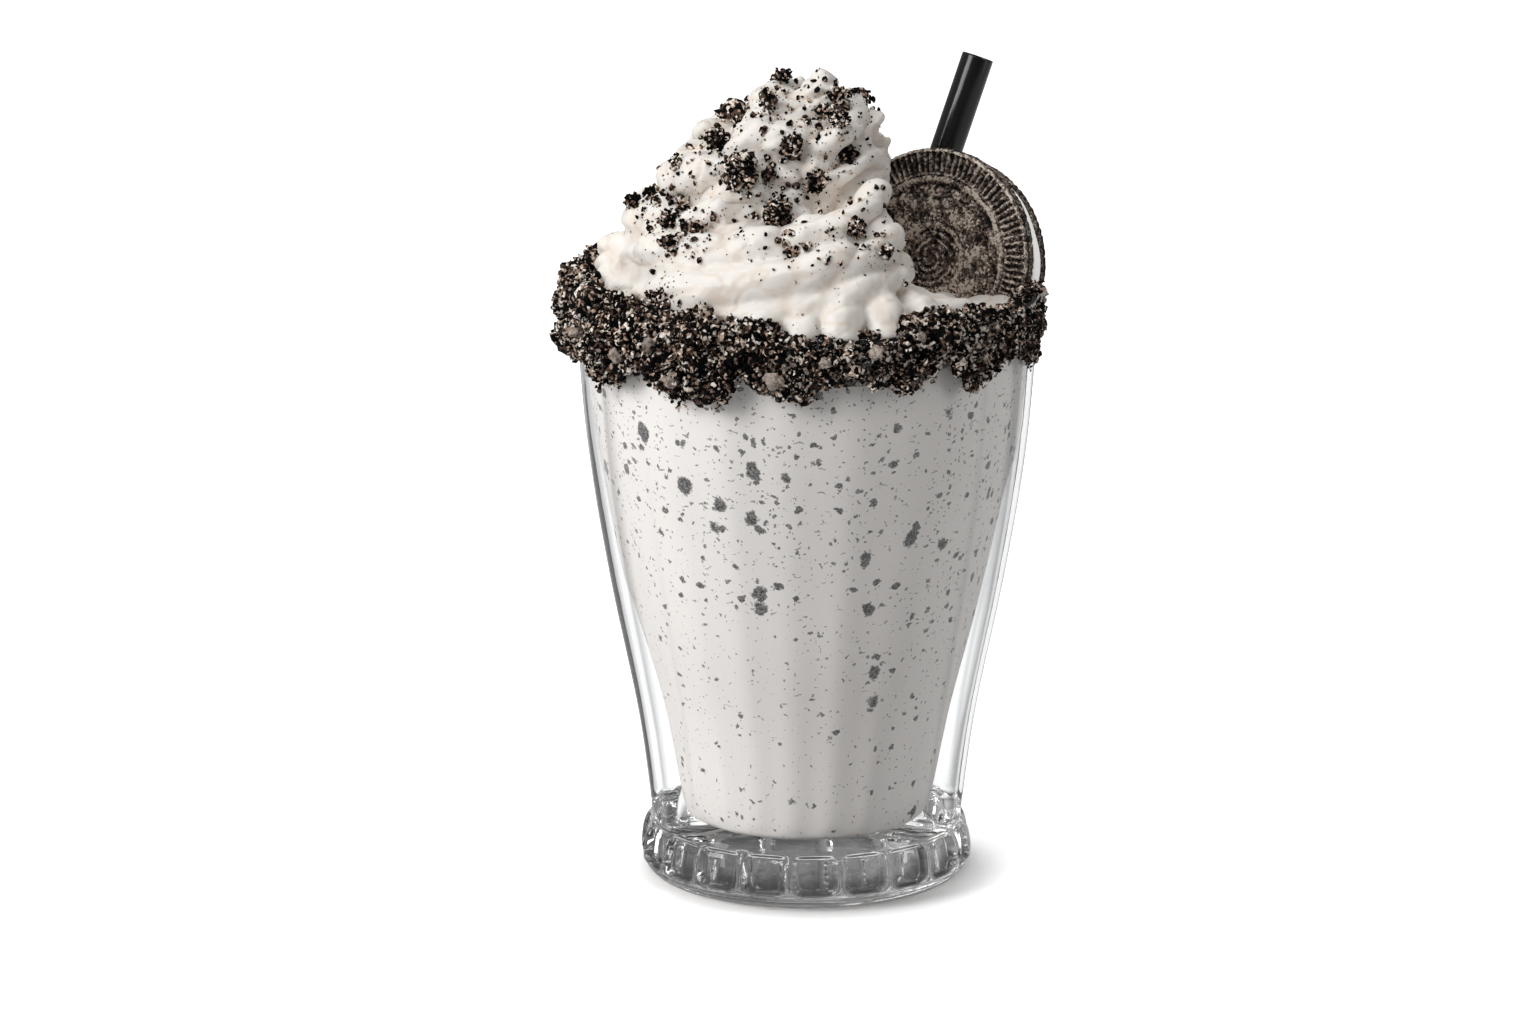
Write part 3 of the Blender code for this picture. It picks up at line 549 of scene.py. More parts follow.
def shake_finish():
    """Pale milk with ragged cookie specks of several sizes, each veiled by a film of milk."""
    finish = Finish("cookies and cream shake")
    place = finish.place()
    wobble = finish.cloud(place, 1.8, 3.0, 0.6, give="Color")
    tear = {0: wobble, 1: (SPECK_TEAR * MM,) * 3, 2: place}
    wobble = finish.node("ShaderNodeVectorMath", {"operation": "MULTIPLY_ADD"}, tear)
    crowd = finish.ramp(finish.part(place, "Z") + 0.35 * finish.part(place, "X"), 0.0, 0.1)
    grain = finish.cloud(place, 0.42, 3.0, 0.75)
    total = 0.0
    for size, stretch, most, dark in SPECK_KINDS:
        spot = finish.stretched(wobble, stretch)
        near = finish.cells(spot, size) + 0.22 * grain - 0.11
        reach = most * finish.ramp(finish.drawn(spot, size), 0.12, 0.9) * (0.64 + 0.44 * crowd)
        speck = finish.ramp(near - reach, -0.035, 0.012, dark, 0.0)
        total = finish.node("ShaderNodeMath", {"operation": "MAXIMUM"}, {0: total, 1: speck})
    veiled = total * finish.ramp(grain, 0.36, 0.6, 0.72, 1.0)
    swirl = finish.cloud(finish.stretched(place, (1.0, 1.0, 0.5)), 16.0, 3.0)
    milk = finish.mixed(swirl, colour(0.75, 0.715, 0.69), colour(0.785, 0.75, 0.725))
    speckled = finish.mixed(veiled, milk, colour(0.014, 0.013, 0.013))
    sockets = {"Base Color": speckled, "Roughness": 0.45, "IOR": 1.35}
    return finish.done(finish.surface("Principled", sockets))


add_piece("shake", shake_mesh(), shake_finish(), "milkshake", 40.0)

# Whipped cream
# Cream piped from a bag in one soft rope that winds up to a peak over the shake, with folds that
# sag over the rim in front. It fills the mouth of the glass and touches its wall.
CREAM_BED = 112.3
# Over this height the cream leaves the wall, within a few millimetres, and reaches this far out
CREAM_FREE_HEIGHT = 119.0
CREAM_LEAVES = 2.5
CREAM_REACH = 42.6
CREAM_OVERHANG = 4.7
# Degrees from the front, to the right, between which the cream hangs over the rim
OVERHANG_FROM = (-22.0, -12.0)
OVERHANG_TO = (25.0, 36.0)
CREAM_VOXEL = 0.55
CREAM_SEED = 3
CREAM_ROPE_BALLS = 170
# The rope turns about a line this far behind the axis, and its turns lie a little flat
CREAM_BACK = 1.0
CREAM_FLATNESS = 0.85
# Bulges on the rope: how many, how far out and how large as shares of its radius, how far they stray
CREAM_LOBES = 44
LOBE_REACH = (0.4, 0.65)
LOBE_SIZE = (0.42, 0.66)
LOBE_STRAY = 3.5
# Size and height of the puffs that cover the cream, and how narrow the creases between them are
PUFFS = ((9.0, 6.0, 1.0), (4.0, 1.5, 1.6))
# How much longer than high the puffs are, and how steeply they rise to the right
PUFF_STRETCH = 1.7
PUFF_SLOPE = 0.35
PUFF_MEAN = 0.3
# How much lower they are in front, how far forwards, and up to what height
PUFF_CALM = 0.75
CALM_FORWARDS = (18.0, 28.0)
CALM_HEIGHTS = (134.0, 140.0)
# Size and height of the cream's finest unevenness, and how wide the painted shade in its creases is
FINE_PUFFS = (1.5, 0.14)
CREASE_WIDTH = 0.26
# From the back right of the rim round by the left and up: angle in degrees, height, sideways
# lean, turn radius and rope radius
CREAM_ROPE = (
    (40.0, 119.5, -1.0, 33.0, 7.0),
    (180.0, 123.6, -1.0, 33.5, 7.4),
    (270.0, 127.5, -1.0, 31.0, 7.8),
    (310.0, 130.0, -3.5, 26.0, 7.4),
    (350.0, 133.5, -8.5, 19.5, 7.0),
    (540.0, 133.6, -9.6, 20.5, 7.0),
    (720.0, 141.5, -7.4, 18.5, 6.6),
    (900.0, 144.0, -6.0, 17.6, 6.5),
    (1260.0, 150.4, -2.2, 13.8, 6.2),
    (1620.0, 157.6, 0.8, 7.6, 5.2),
    (1800.0, 161.6, 2.4, 0.5, 4.4),
)
# What the rope encloses: height, sideways lean, radius and half height
CREAM_CORE = (
    (121.0, -8.0, 29.0, 7.0),
    (132.0, -9.0, 21.0, 9.0),
    (142.0, -6.5, 18.5, 9.0),
    (152.0, -2.4, 13.5, 8.0),
)
# Folds that lie over the rope at the front: radius, then the points that the fold follows
CREAM_FOLDS = (
    (5.9, ((-35.0, -9.0, 128.0), (-26.5, -21.5, 131.2), (-7.0, -27.0, 134.6), (9.0, -24.5, 138.0),
           (13.0, -16.0, 140.2))),
    (5.2, ((-33.0, -16.0, 124.6), (-22.0, -31.0, 126.4), (-5.0, -35.4, 129.8), (6.0, -33.0, 132.4),
           (15.5, -24.0, 135.2))),
    (3.6, ((-29.0, -28.0, 120.6), (-21.0, -35.0, 121.6), (-5.0, -39.4, 124.4), (9.0, -36.6, 127.6),
           (18.0, -28.4, 130.0))),
    (4.6, ((-13.0, -34.0, 121.4), (0.0, -37.0, 121.4), (11.0, -36.0, 121.6), (22.0, -30.0, 121.4))),
    (4.6, ((-9.0, -32.0, 125.0), (-8.4, -38.0, 123.4), (-8.0, -41.0, 121.8))),
    (5.0, ((-1.5, -33.0, 125.4), (-1.0, -39.0, 123.6), (-0.8, -43.0, 120.8))),
    (5.2, ((6.0, -32.5, 126.0), (6.2, -39.0, 123.8), (6.8, -43.4, 120.2))),
    (4.8, ((13.5, -30.0, 126.0), (14.6, -37.0, 123.6), (15.6, -41.0, 120.6))),
    (4.6, ((19.0, -26.0, 125.0), (22.0, -31.0, 122.6), (23.5, -35.0, 121.0))),
    (4.3, ((20.0, -24.0, 123.4), (27.0, -24.5, 121.4), (32.0, -20.0, 120.2))),
    (2.8, ((-29.0, -25.0, 124.6), (-34.5, -21.5, 124.6))),
)


@functools.cache
def ball_shape(detail):
    """The points and the faces of a ball of radius one."""
    bm = bmesh.new()
    bmesh.ops.create_icosphere(bm, subdivisions=detail, radius=1.0)
    bm.verts.index_update()
    points = np.array([vertex.co[:] for vertex in bm.verts])
    faces = np.array([[vertex.index for vertex in face.verts] for face in bm.faces])
    bm.free()
    return points, faces


def balls_mesh(name, balls):
    """One mesh of many balls, each given by its centre and its radii."""
    shape, sides = ball_shape(2)
    places = np.array([centre for centre, radii in balls], float)
    sizes = np.array([radii for centre, radii in balls], float)
    points = shape[None] * sizes[:, None, :] + places[:, None, :]
    faces = sides[None] + (np.arange(len(balls)) * len(shape))[:, None, None]
    mesh = bpy.data.meshes.new(name)
    mesh.from_pydata(points.reshape(-1, 3).tolist(), [], faces.reshape(-1, 3).tolist())
    return mesh


def fold_balls(points, radius):
    """A fold of cream as close-set balls, thinner at its two ends."""
    length = sum(math.dist(start, end) for start, end in zip(points, points[1:]))
    steps = max(2, round(length / (0.3 * radius) / (len(points) - 1)))
    route = curve_through(points, steps)
    balls = []
    for index, point in enumerate(route):
        end = min(index, len(route) - 1 - index) / steps
        balls.append((point, (radius * min(1.0, 0.72 + 0.28 * end),) * 3))
    return balls


def rope_at(share):
    """The piped rope's angle, height, lean, turn radius and thickness at a share of its length."""
    columns = np.array(CREAM_ROPE).T
    degrees = columns[0, 0] + share * (columns[0, -1] - columns[0, 0])
    values = [np.interp(degrees, columns[0], column) for column in columns[1:]]
    return math.radians(degrees), *values


def cream_heap():
    """The heap before it is blended: bed, piped rope, what it encloses, its lobes and the folds."""
    draw = np.random.default_rng(CREAM_SEED)
    balls = []
    for height, lean, radius, half_height in CREAM_CORE:
        balls.append(((lean, CREAM_BACK, height), (radius, radius, half_height)))
    for share in np.linspace(0.0, 1.0, CREAM_ROPE_BALLS):
        angle, height, lean, turn, rope = rope_at(share)
        centre = (lean + turn * math.cos(angle), CREAM_BACK + turn * math.sin(angle), height)
        balls.append((centre, (rope, rope, rope * CREAM_FLATNESS)))
    for lobe in range(CREAM_LOBES):
        angle, height, lean, turn, rope = rope_at((lobe + draw.uniform(0.2, 0.8)) / CREAM_LOBES)
        reach = turn + rope * draw.uniform(*LOBE_REACH)
        size = rope * draw.uniform(*LOBE_SIZE)
        height += draw.uniform(-LOBE_STRAY, LOBE_STRAY)
        centre = (lean + reach * math.cos(angle), CREAM_BACK + reach * math.sin(angle), height)
        balls.append((centre, (size, size, size)))
    for radius, points in CREAM_FOLDS:
        balls += fold_balls(points, radius)
    angles = np.linspace(0.0, math.tau, 64, endpoint=False)
    bed = turned("cream bed", round_rings([43.5, 41.5], [108.0, 119.0], angles))
    bm = bmesh.new()
    for mesh in (bed, balls_mesh("cream balls", balls)):
        bm.from_mesh(mesh)
    mesh = bpy.data.meshes.new("cream heap")
    bmesh.ops.recalc_face_normals(bm, faces=bm.faces)
    bm.to_mesh(mesh)
    bm.free()
    return mesh


def baked(mesh, modifiers):
    """The mesh after some modifiers, each given as its kind and its settings."""
    holder = bpy.data.objects.new("holder", mesh)
    scene.collection.objects.link(holder)
    for kind, settings in modifiers:
        modifier = holder.modifiers.new(kind.title(), kind)
        for name, value in settings.items():
            setattr(modifier, name, value)
    graph = bpy.context.evaluated_depsgraph_get()
    result = bpy.data.meshes.new_from_object(holder.evaluated_get(graph))
    bpy.data.objects.remove(holder, do_unlink=True)
    return result


def vertex_places(mesh):
    """Where the points of a mesh are, a row for each."""
    places = np.empty(len(mesh.vertices) * 3, np.float32)
    mesh.vertices.foreach_get("co", places)
    return places.reshape(-1, 3)


def set_vertex_places(mesh, places):
    """Puts the points of a mesh at new places."""
    mesh.vertices.foreach_set("co", np.asarray(places, np.float32).ravel())
    mesh.update()


def cream_mesh():
    """The heap blended into one skin, puffed up, and kept inside the wall and the crust."""
    skin = [
        ("REMESH", {"mode": "VOXEL", "voxel_size": CREAM_VOXEL}),
        ("SMOOTH", {"factor": 0.5, "iterations": 3}),
    ]
    mesh = baked(cream_heap(), skin)
    places = vertex_places(mesh).astype(float)
    normals = np.array([vertex.normal[:] for vertex in mesh.vertices])
    x, y, z = places.T
    calm = 1.0 - PUFF_CALM * smooth_step(-y, *CALM_FORWARDS) * (1.0 - smooth_step(z, *CALM_HEIGHTS))
    rise = np.zeros(len(places))
    hollow = np.ones(len(places))
    sloped = np.stack([x / PUFF_STRETCH, y / PUFF_STRETCH, z - PUFF_SLOPE * x], axis=1)
    for size, height, narrow in PUFFS:
        puffs = np.array([abs(noise.noise(Vector(place) / size)) for place in sloped])
        rise += height * calm * (puffs - PUFF_MEAN)
        hollow = np.minimum(hollow, puffs * narrow)
    size, height = FINE_PUFFS
    rise += height * np.array([noise.noise(Vector(place) / size) for place in places])
    places += normals * rise[:, None]
    reach = np.hypot(places[:, 0], places[:, 1])
    wall = radius_at(BODY_INSIDE, places[:, 2]) + SHAKE_REACH
    from_front = np.degrees(np.arctan2(places[:, 0], -places[:, 1]))
    hangs = smooth_step(from_front, *OVERHANG_FROM) * (1.0 - smooth_step(from_front, *OVERHANG_TO))
    free = CREAM_REACH + CREAM_OVERHANG * hangs
    freed = smooth_step(places[:, 2], CREAM_FREE_HEIGHT, CREAM_FREE_HEIGHT + CREAM_LEAVES)
    limit = wall + (free - wall) * freed
    places[:, :2] *= np.minimum(1.0, limit / np.maximum(reach, 1.0))[:, None]
    places[:, 2] = np.maximum(places[:, 2], CREAM_BED)
    set_vertex_places(mesh, places)
    # Where the finish paints shade in the creases
    note(mesh, "crease", 1.0 - smooth_step(hollow, 0.0, CREASE_WIDTH))
    return mesh


# Cells of the cookie dust on the cream
DUST_SIZE = 0.9


def cream_finish():
    """Soft white cream that lets light in a little, with painted beige shade in its hollows and fine cookie
    dust.
    """
    finish = Finish("whipped cream")
    place = finish.place()
    soft = finish.cloud(place, 7.0, 3.0)
    white = finish.mixed(soft, colour(0.895, 0.86, 0.812), colour(0.855, 0.8, 0.735))
    # Painted shade: the creases between the puffs turn beige
    painted_crease_shade = finish.ramp(finish.noted("crease") * (0.3 + soft), 0.2, 1.0, 0.0, 0.6)
    tint = finish.mixed(painted_crease_shade, white, colour(0.74, 0.63, 0.53))
    dusty = finish.ramp(finish.cloud(place, 8.0, 2.0), 0.48, 0.66)
    near = finish.cells(place, DUST_SIZE)
    drawn = finish.drawn(place, DUST_SIZE)
    speck = finish.ramp(near - 0.34 * drawn * drawn * dusty, -0.02, 0.03, 0.85, 0.0)
    dusted = finish.mixed(speck, tint, colour(0.09, 0.065, 0.052))
    fine = finish.bump(finish.cloud(place, 0.8, 3.0, 0.6), 0.06)
    sockets = {
        "Base Color": dusted, "Roughness": 0.42, "Normal": fine, "Subsurface Weight": 0.25,
        "Subsurface Radius": (0.0030, 0.0022, 0.0016), "Subsurface Scale": 1.0,
    }
    return finish.done(finish.surface("Principled", sockets))


cream = cream_mesh()
cream_tree = BVHTree.FromPolygons(
    [vertex.co.copy() for vertex in cream.vertices], [tuple(face.vertices) for face in cream.polygons]
)
add_piece("cream_swirl", cream, cream_finish(), "whipped_cream")

# Cookie crumbs on the cream
# Broken dark cookie, dropped on the cream by hand: lumps that are clusters of grains, with small
# crumbs and dust round them. They stick where they fell.
SIGHT_DOWN = math.radians(14.6)
SIGHT_LENGTH = 200.0
CRUMB_SEED = 11
# Large crumbs at the sides and the back: how many, their sizes, over what height
BEHIND_CRUMBS = 26
BEHIND_SIZES = (2.6, 6.5)
BEHIND_LOWEST = 127.0
# Degrees round from the right towards the back, the heights, and how steeply one looks down there
BEHIND_ANGLES = (40.0, 140.0)
BEHIND_HEIGHTS = (124.0, 154.0)
BEHIND_SLOPE = 0.35
# Shares of a large crumb's size: how far its middle stands out, and how its parts spread
CRUMB_RISE = 0.16
CRUMB_STRETCH = (0.62, 1.4)
LUMP_REACH = 0.36
LUMP_SIZES = (0.26, 0.54)
GRAIN_REACH = (0.3, 0.5)
# The sizes of its grains, and how many there are for each millimetre of it
GRAIN_SIZES = (0.4, 1.05)
GRAINS_EACH = 16
# How many single grains lie loose on the cream, over what height, and how far round the large ones
LOOSE_GRAINS = 1700
LOOSE_LOWEST = 123.0
LOOSE_STRAY = (3.6, 2.6)
# How many shapes there are of each kind, and how high and how fine their crags are
SHAPE_KINDS = 9
CRUMB_CRAGS = ((1.0, 2.6), (0.55, 6.1), (0.35, 13.0))
# The large crumbs in front: across from the axis, up the view, and size
LARGE_CRUMBS = (
    (-13.1, 138.0, 8.2), (-5.5, 130.7, 7.4), (-14.8, 150.3, 7.2), (-17.2, 144.8, 5.0), (-7.3, 153.1, 4.2),
    (-5.1, 158.0, 3.6), (1.4, 161.0, 2.8), (6.1, 154.1, 5.0), (9.1, 156.2, 3.6), (3.4, 151.6, 3.8),
    (-3.0, 144.4, 5.0), (6.7, 148.5, 5.0), (7.1, 142.4, 4.4), (2.0, 136.8, 5.0), (-7.5, 138.4, 4.2),
    (-26.9, 129.3, 4.0), (-21.8, 127.9, 3.4), (-24.8, 132.7, 3.2), (-34.3, 133.7, 3.8), (-30.9, 134.7, 3.0),
    (-25.7, 140.8, 2.8), (-28.9, 113.9, 5.2), (9.1, 127.9, 4.0), (-3.0, 123.0, 2.8), (-27.3, 125.0, 3.4),
    (15.2, 123.2, 3.4),
)


def crumb_shapes(kinds, detail, rough, seed):
    """Some craggy crumbs of unit size, each as its points and its faces."""
    draw = np.random.default_rng(seed)
    ball, faces = ball_shape(detail)
    shapes = []
    for kind in range(kinds):
        shift = Vector(draw.uniform(-50.0, 50.0, 3))
        points = []
        for corner in ball / 2:
            spot = Vector(corner) + shift
            crag = sum(height * noise.noise(spot * fine) for height, fine in CRUMB_CRAGS)
            points.append(corner * (1.0 + rough * crag))
        shapes.append((np.array(points), faces))
    return shapes


def random_turns(count, draw):
    """Random rotations as matrices."""
    w, x, y, z = draw.normal(size=(4, count))
    length = np.sqrt(w * w + x * x + y * y + z * z)
    w, x, y, z = w / length, x / length, y / length, z / length
    rows = [
        [1 - 2 * (y * y + z * z), 2 * (x * y - w * z), 2 * (x * z + w * y)],
        [2 * (x * y + w * z), 1 - 2 * (x * x + z * z), 2 * (y * z - w * x)],
        [2 * (x * z - w * y), 2 * (y * z + w * x), 1 - 2 * (x * x + y * y)],
    ]
    return np.array(rows).transpose(2, 0, 1)


def strewn(name, spots, sizes, shapes, draw):
    """One mesh of many crumbs, each a turned and stretched copy of one of the shapes."""
    spots = np.asarray(spots, float)
    sizes = np.asarray(sizes, float)
    kinds = draw.integers(len(shapes), size=len(spots))
    stretches = draw.uniform(0.5, 1.4, (len(spots), 3))
    turns = random_turns(len(spots), draw)
    points, faces, count = [], [], 0
    for kind, (shape, sides) in enumerate(shapes):
        chosen = kinds == kind
        scaled = shape[None] * (stretches[chosen] * sizes[chosen, None])[:, None, :]
        placed = np.einsum("nij,nkj->nki", turns[chosen], scaled) + spots[chosen, None, :]
        starts = count + np.arange(len(placed)) * len(shape)
        points.append(placed.reshape(-1, 3))
        faces.append((sides[None] + starts[:, None, None]).reshape(-1, 3))
        count += len(placed) * len(shape)
    mesh = bpy.data.meshes.new(name)
    mesh.from_pydata(np.concatenate(points).tolist(), [], np.concatenate(faces).tolist())
    mesh.update()
    return mesh


# The tones of a broken crumb, the last pale one a painted glint: where each starts and is full, and its
# colour
CRUMB_DARK = (0.001, 0.0006, 0.0005)
CRUMB_TONES_AND_GLINTS = (
    (0.56, 0.61, (0.115, 0.073, 0.053)), (0.72, 0.76, (0.6, 0.44, 0.34)), (0.85, 0.88, (1.0, 0.92, 0.83)),
)


def crumb_finish():
    """Dark baked cookie, broken into grains from near black to tan, with a few pale grains painted as glints.
    """
    finish = Finish("cookie crumb")
    place = finish.place()
    shade = finish.drawn(place, 0.66) + 1.1 * finish.cloud(place, 6.0, 3.0, 0.6) - 0.55
    tint = finish.toned(shade, CRUMB_DARK, CRUMB_TONES_AND_GLINTS)
    normal = finish.bump(finish.cloud(place, 0.4, 4.0, 0.75), 0.35)
    sockets = {"Base Color": tint, "Roughness": 0.75, "Specular IOR Level": 0.1, "Normal": normal}
    return finish.done(finish.surface("Principled", sockets))


def seen_spot(across, up):
    """Where a spot seen from the front lies on the cream, and the normal there."""
    along = Vector((0.0, math.cos(SIGHT_DOWN), -math.sin(SIGHT_DOWN)))
    upwards = Vector((0.0, math.sin(SIGHT_DOWN), math.cos(SIGHT_DOWN)))
    start = Vector((across, 0.0, 0.0)) + upwards * up - along * SIGHT_LENGTH
    return cream_tree.ray_cast(start, along)[:2]


def behind_spot(draw):
    """A random spot on the sides and the back of the cream, and the normal there."""
    angle = draw.uniform(*(math.radians(degrees) for degrees in BEHIND_ANGLES))
    outwards = Vector((math.cos(angle), math.sin(angle), BEHIND_SLOPE))
    start = Vector((-4.0, CREAM_BACK, draw.uniform(*BEHIND_HEIGHTS))) + outwards * SIGHT_LENGTH / 2
    return cream_tree.ray_cast(start, -outwards)[:2]


def random_way(spread, draw):
    """A random way, stretched like the crumb whose middle it starts from."""
    way = draw.normal(size=3)
    return way * spread / np.linalg.norm(way)


cookie_crumb = crumb_finish()
draw = np.random.default_rng(CRUMB_SEED)
lumps, lump_sizes, grains, grain_sizes = [], [], [], []
crumb_centres = []
for across, up, size in LARGE_CRUMBS:
    spot, normal = seen_spot(across, up)
    if spot:
        crumb_centres.append((np.array(spot), np.array(normal), size))
while len(crumb_centres) < len(LARGE_CRUMBS) + BEHIND_CRUMBS:
    spot, normal = behind_spot(draw)
    if spot and spot.z > BEHIND_LOWEST:
        crumb_centres.append((np.array(spot), np.array(normal), draw.uniform(*BEHIND_SIZES)))
for centre, normal, size in crumb_centres:
    middle = centre + normal * CRUMB_RISE * size
    spread = draw.uniform(*CRUMB_STRETCH, 3)
    for part in range(int(3 + 0.55 * size * size)):
        lumps.append(middle + random_way(spread, draw) * size * LUMP_REACH * draw.uniform(0.2, 1.0))
        lump_sizes.append(draw.uniform(*LUMP_SIZES) * size)
    for grain in range(int(GRAINS_EACH * size)):
        grains.append(middle + random_way(spread, draw) * size * draw.uniform(*GRAIN_REACH))
        grain_sizes.append(draw.uniform(*GRAIN_SIZES))
grain_shapes = crumb_shapes(SHAPE_KINDS, 1, 0.5, CRUMB_SEED * 2)
lump_shapes = crumb_shapes(SHAPE_KINDS, 2, 0.55, CRUMB_SEED * 2 + 1)
lump_mesh = strewn("cream_crumbs", lumps, lump_sizes, lump_shapes, draw)
add_piece("cream_crumbs", lump_mesh, cookie_crumb, sharp=35.0)

for index in range(LOOSE_GRAINS):
    if draw.uniform() < 0.62:
        centre_across, centre_up, size = LARGE_CRUMBS[draw.integers(len(LARGE_CRUMBS))]
        aside, upwards = (draw.normal() * stray for stray in LOOSE_STRAY)
        spot, normal = seen_spot(centre_across + aside, centre_up + upwards)
    elif draw.uniform() < 0.5:
        spot, normal = seen_spot(draw.uniform(-34.0, 16.0), draw.uniform(121.0, 162.0))
    else:
        spot, normal = behind_spot(draw)
    if spot and spot.z > LOOSE_LOWEST:
        size = 0.3 + 1.5 * draw.uniform() ** 5
        grains.append(np.array(spot + normal * 0.2 * size))
        grain_sizes.append(size)
grain_mesh = strewn("cream_grains", grains, grain_sizes, grain_shapes, draw)
add_piece("cream_grains", grain_mesh, cookie_crumb, sharp=35.0)

# Crumb crust on the rim
# The rim was dipped in syrup and rolled in cookie crumbs, so they stick in a thick uneven ring
# outside, over and just inside the rim, in lumps, crumbs and fine grains.
CRUST_STEPS = 420
CRUST_TOP = 123.6
CRUST_OUTER_RADIUS = 49.2
# How much thinner the crust is at the right than at the left
CRUST_THINNER = 2.2
# Height of the lumps that the crumbs stuck in
CRUST_BULGE = 1.7
CRUST_INNER_RADIUS = 41.9
CRUST_INNER_LEG = 2.2
# The least that the crust stands over the rim
CRUST_COVER = 0.7
CRUST_SEED = 5
# The lower edge: degrees round from the front towards the right, and height
CRUST_EDGE = (
    (-180, 109.5), (-160, 108.0), (-146, 111.5), (-130, 107.5), (-112, 110.0), (-90, 108.6),
    (-72, 109.2), (-61, 106.9), (-54, 107.2), (-48, 113.0), (-43, 110.6), (-36.7, 107.8),
    (-31, 107.3), (-25.5, 107.1), (-20.5, 108.2), (-16.8, 113.9), (-10.6, 110.0), (-6, 109.0),
    (-1, 108.0), (3.5, 111.2), (10.7, 111.5), (17.9, 111.3), (24, 109.1), (31, 112.0),
    (33.8, 115.6), (39.3, 112.7), (44, 107.3), (52.6, 110.0), (61, 113.5), (74, 107.5),
    (92, 110.0), (110, 107.8), (128, 111.8), (150, 108.0), (168, 111.0), (180, 109.5),
)
# The top of the crust, lower where the cream sags over it
CRUST_CREST = (
    (-180, 0.0), (-14, 0.0), (-3, -2.2), (10, -3.0), (20, -1.6), (27, 0.3), (36, 0.3), (46, -1.4),
    (60, -1.9), (112, -1.9), (128, 0.0), (180, 0.0),
)
# Waves of the top: how many fit round it, where the noise is read, and how high they are
CREST_WAVES = (9.0, 15.2, 1.3)
# Sizes and heights of the lumps, and of the crags between the crumbs
LUMP_WAVES = ((3.6, 1.0), (1.9, 0.5))
CRAG_WAVES = ((2.6, 0.7), (1.1, 0.42))
CRAG_DEPTH = 0.7
CRUST_ROWS = 34
# The side in the glass, from under the rim over it and down inside: radius, and how far under the rim
CRUST_BACK = (
    (RIM_RADIUS - 0.4, 3.0), (RIM_RADIUS - 0.4, 0.5), (43.9, 0.5), (43.6, CRUST_INNER_LEG),
)


def waves_at(spot, waves):
    """The height at a spot of waves that are given by their sizes and heights."""
    return sum(height * noise.noise(spot / size) for size, height in waves)


def crust_skin(angle):
    """The rough side of the crust at an angle, from inside the rim over it and down outside."""
    degrees = (math.degrees(angle) + 270.0) % 360.0 - 180.0
    bottom = float(np.interp(degrees, *np.array(CRUST_EDGE).T))
    top = CRUST_TOP + float(np.interp(degrees, *np.array(CRUST_CREST).T))
    many, seed, height = CREST_WAVES
    wave = height * noise.noise(Vector((many * math.cos(angle), many * math.sin(angle), seed)))
    top = max(top + wave, RIM_HEIGHT + CRUST_COVER)
    tall = top - bottom
    outside = float(radius_at(BODY_OUTSIDE, bottom))
    widest = CRUST_OUTER_RADIUS - CRUST_THINNER * (0.5 + 0.5 * math.sin(math.radians(degrees)))
    skin = [
        (CRUST_INNER_RADIUS, RIM_HEIGHT - CRUST_INNER_LEG),
        (CRUST_INNER_RADIUS + 0.6, top - 1.2),
        (43.6, top),
        (45.8, top + 0.1),
        (widest - 0.8, top - 0.12 * tall),
        (widest, top - 0.37 * tall),
        (max(widest - 0.2, outside + 0.5), bottom + 0.3 * tall),
        (max(widest - 1.0, outside + 0.4), bottom + 0.11 * tall),
        (outside + 0.2, bottom),
    ]
    return np.array(skin)


def crust_bulge(radius, angle, height):
    """How far the crust stands out in lumps at one spot."""
    spot = Vector((radius * math.cos(angle), radius * math.sin(angle), height))
    return CRUST_BULGE * waves_at(spot, LUMP_WAVES)


def crust_core():
    """What the crumbs stick to: a rough ring that hugs the rim."""
    angles = np.linspace(0.0, math.tau, CRUST_STEPS, endpoint=False)
    rows = []
    for angle in angles:
        skin = crust_skin(angle)
        along = np.linspace(0.0, len(skin) - 1.0, CRUST_ROWS)
        radii, heights = (np.interp(along, np.arange(len(skin)), column) for column in skin.T)
        for index in range(1, len(along) - 1):
            spot = Vector((radii[index] * math.cos(angle), radii[index] * math.sin(angle), heights[index]))
            bulge = crust_bulge(radii[index], angle, heights[index])
            radii[index] += waves_at(spot, CRAG_WAVES) - CRAG_DEPTH + bulge * min(1.0, index / 12)
        back = [(radius_at(BODY_OUTSIDE, heights[-1]) - 0.3, heights[-1] + 0.2)]
        back += [(radius, RIM_HEIGHT - under) for radius, under in CRUST_BACK]
        rows.append(np.concatenate([np.stack([radii, heights], axis=1), back]))
    radii, heights = np.array(rows).T
    return turned("crust_core", round_rings(radii, heights, angles)[::-1], hollow=True)


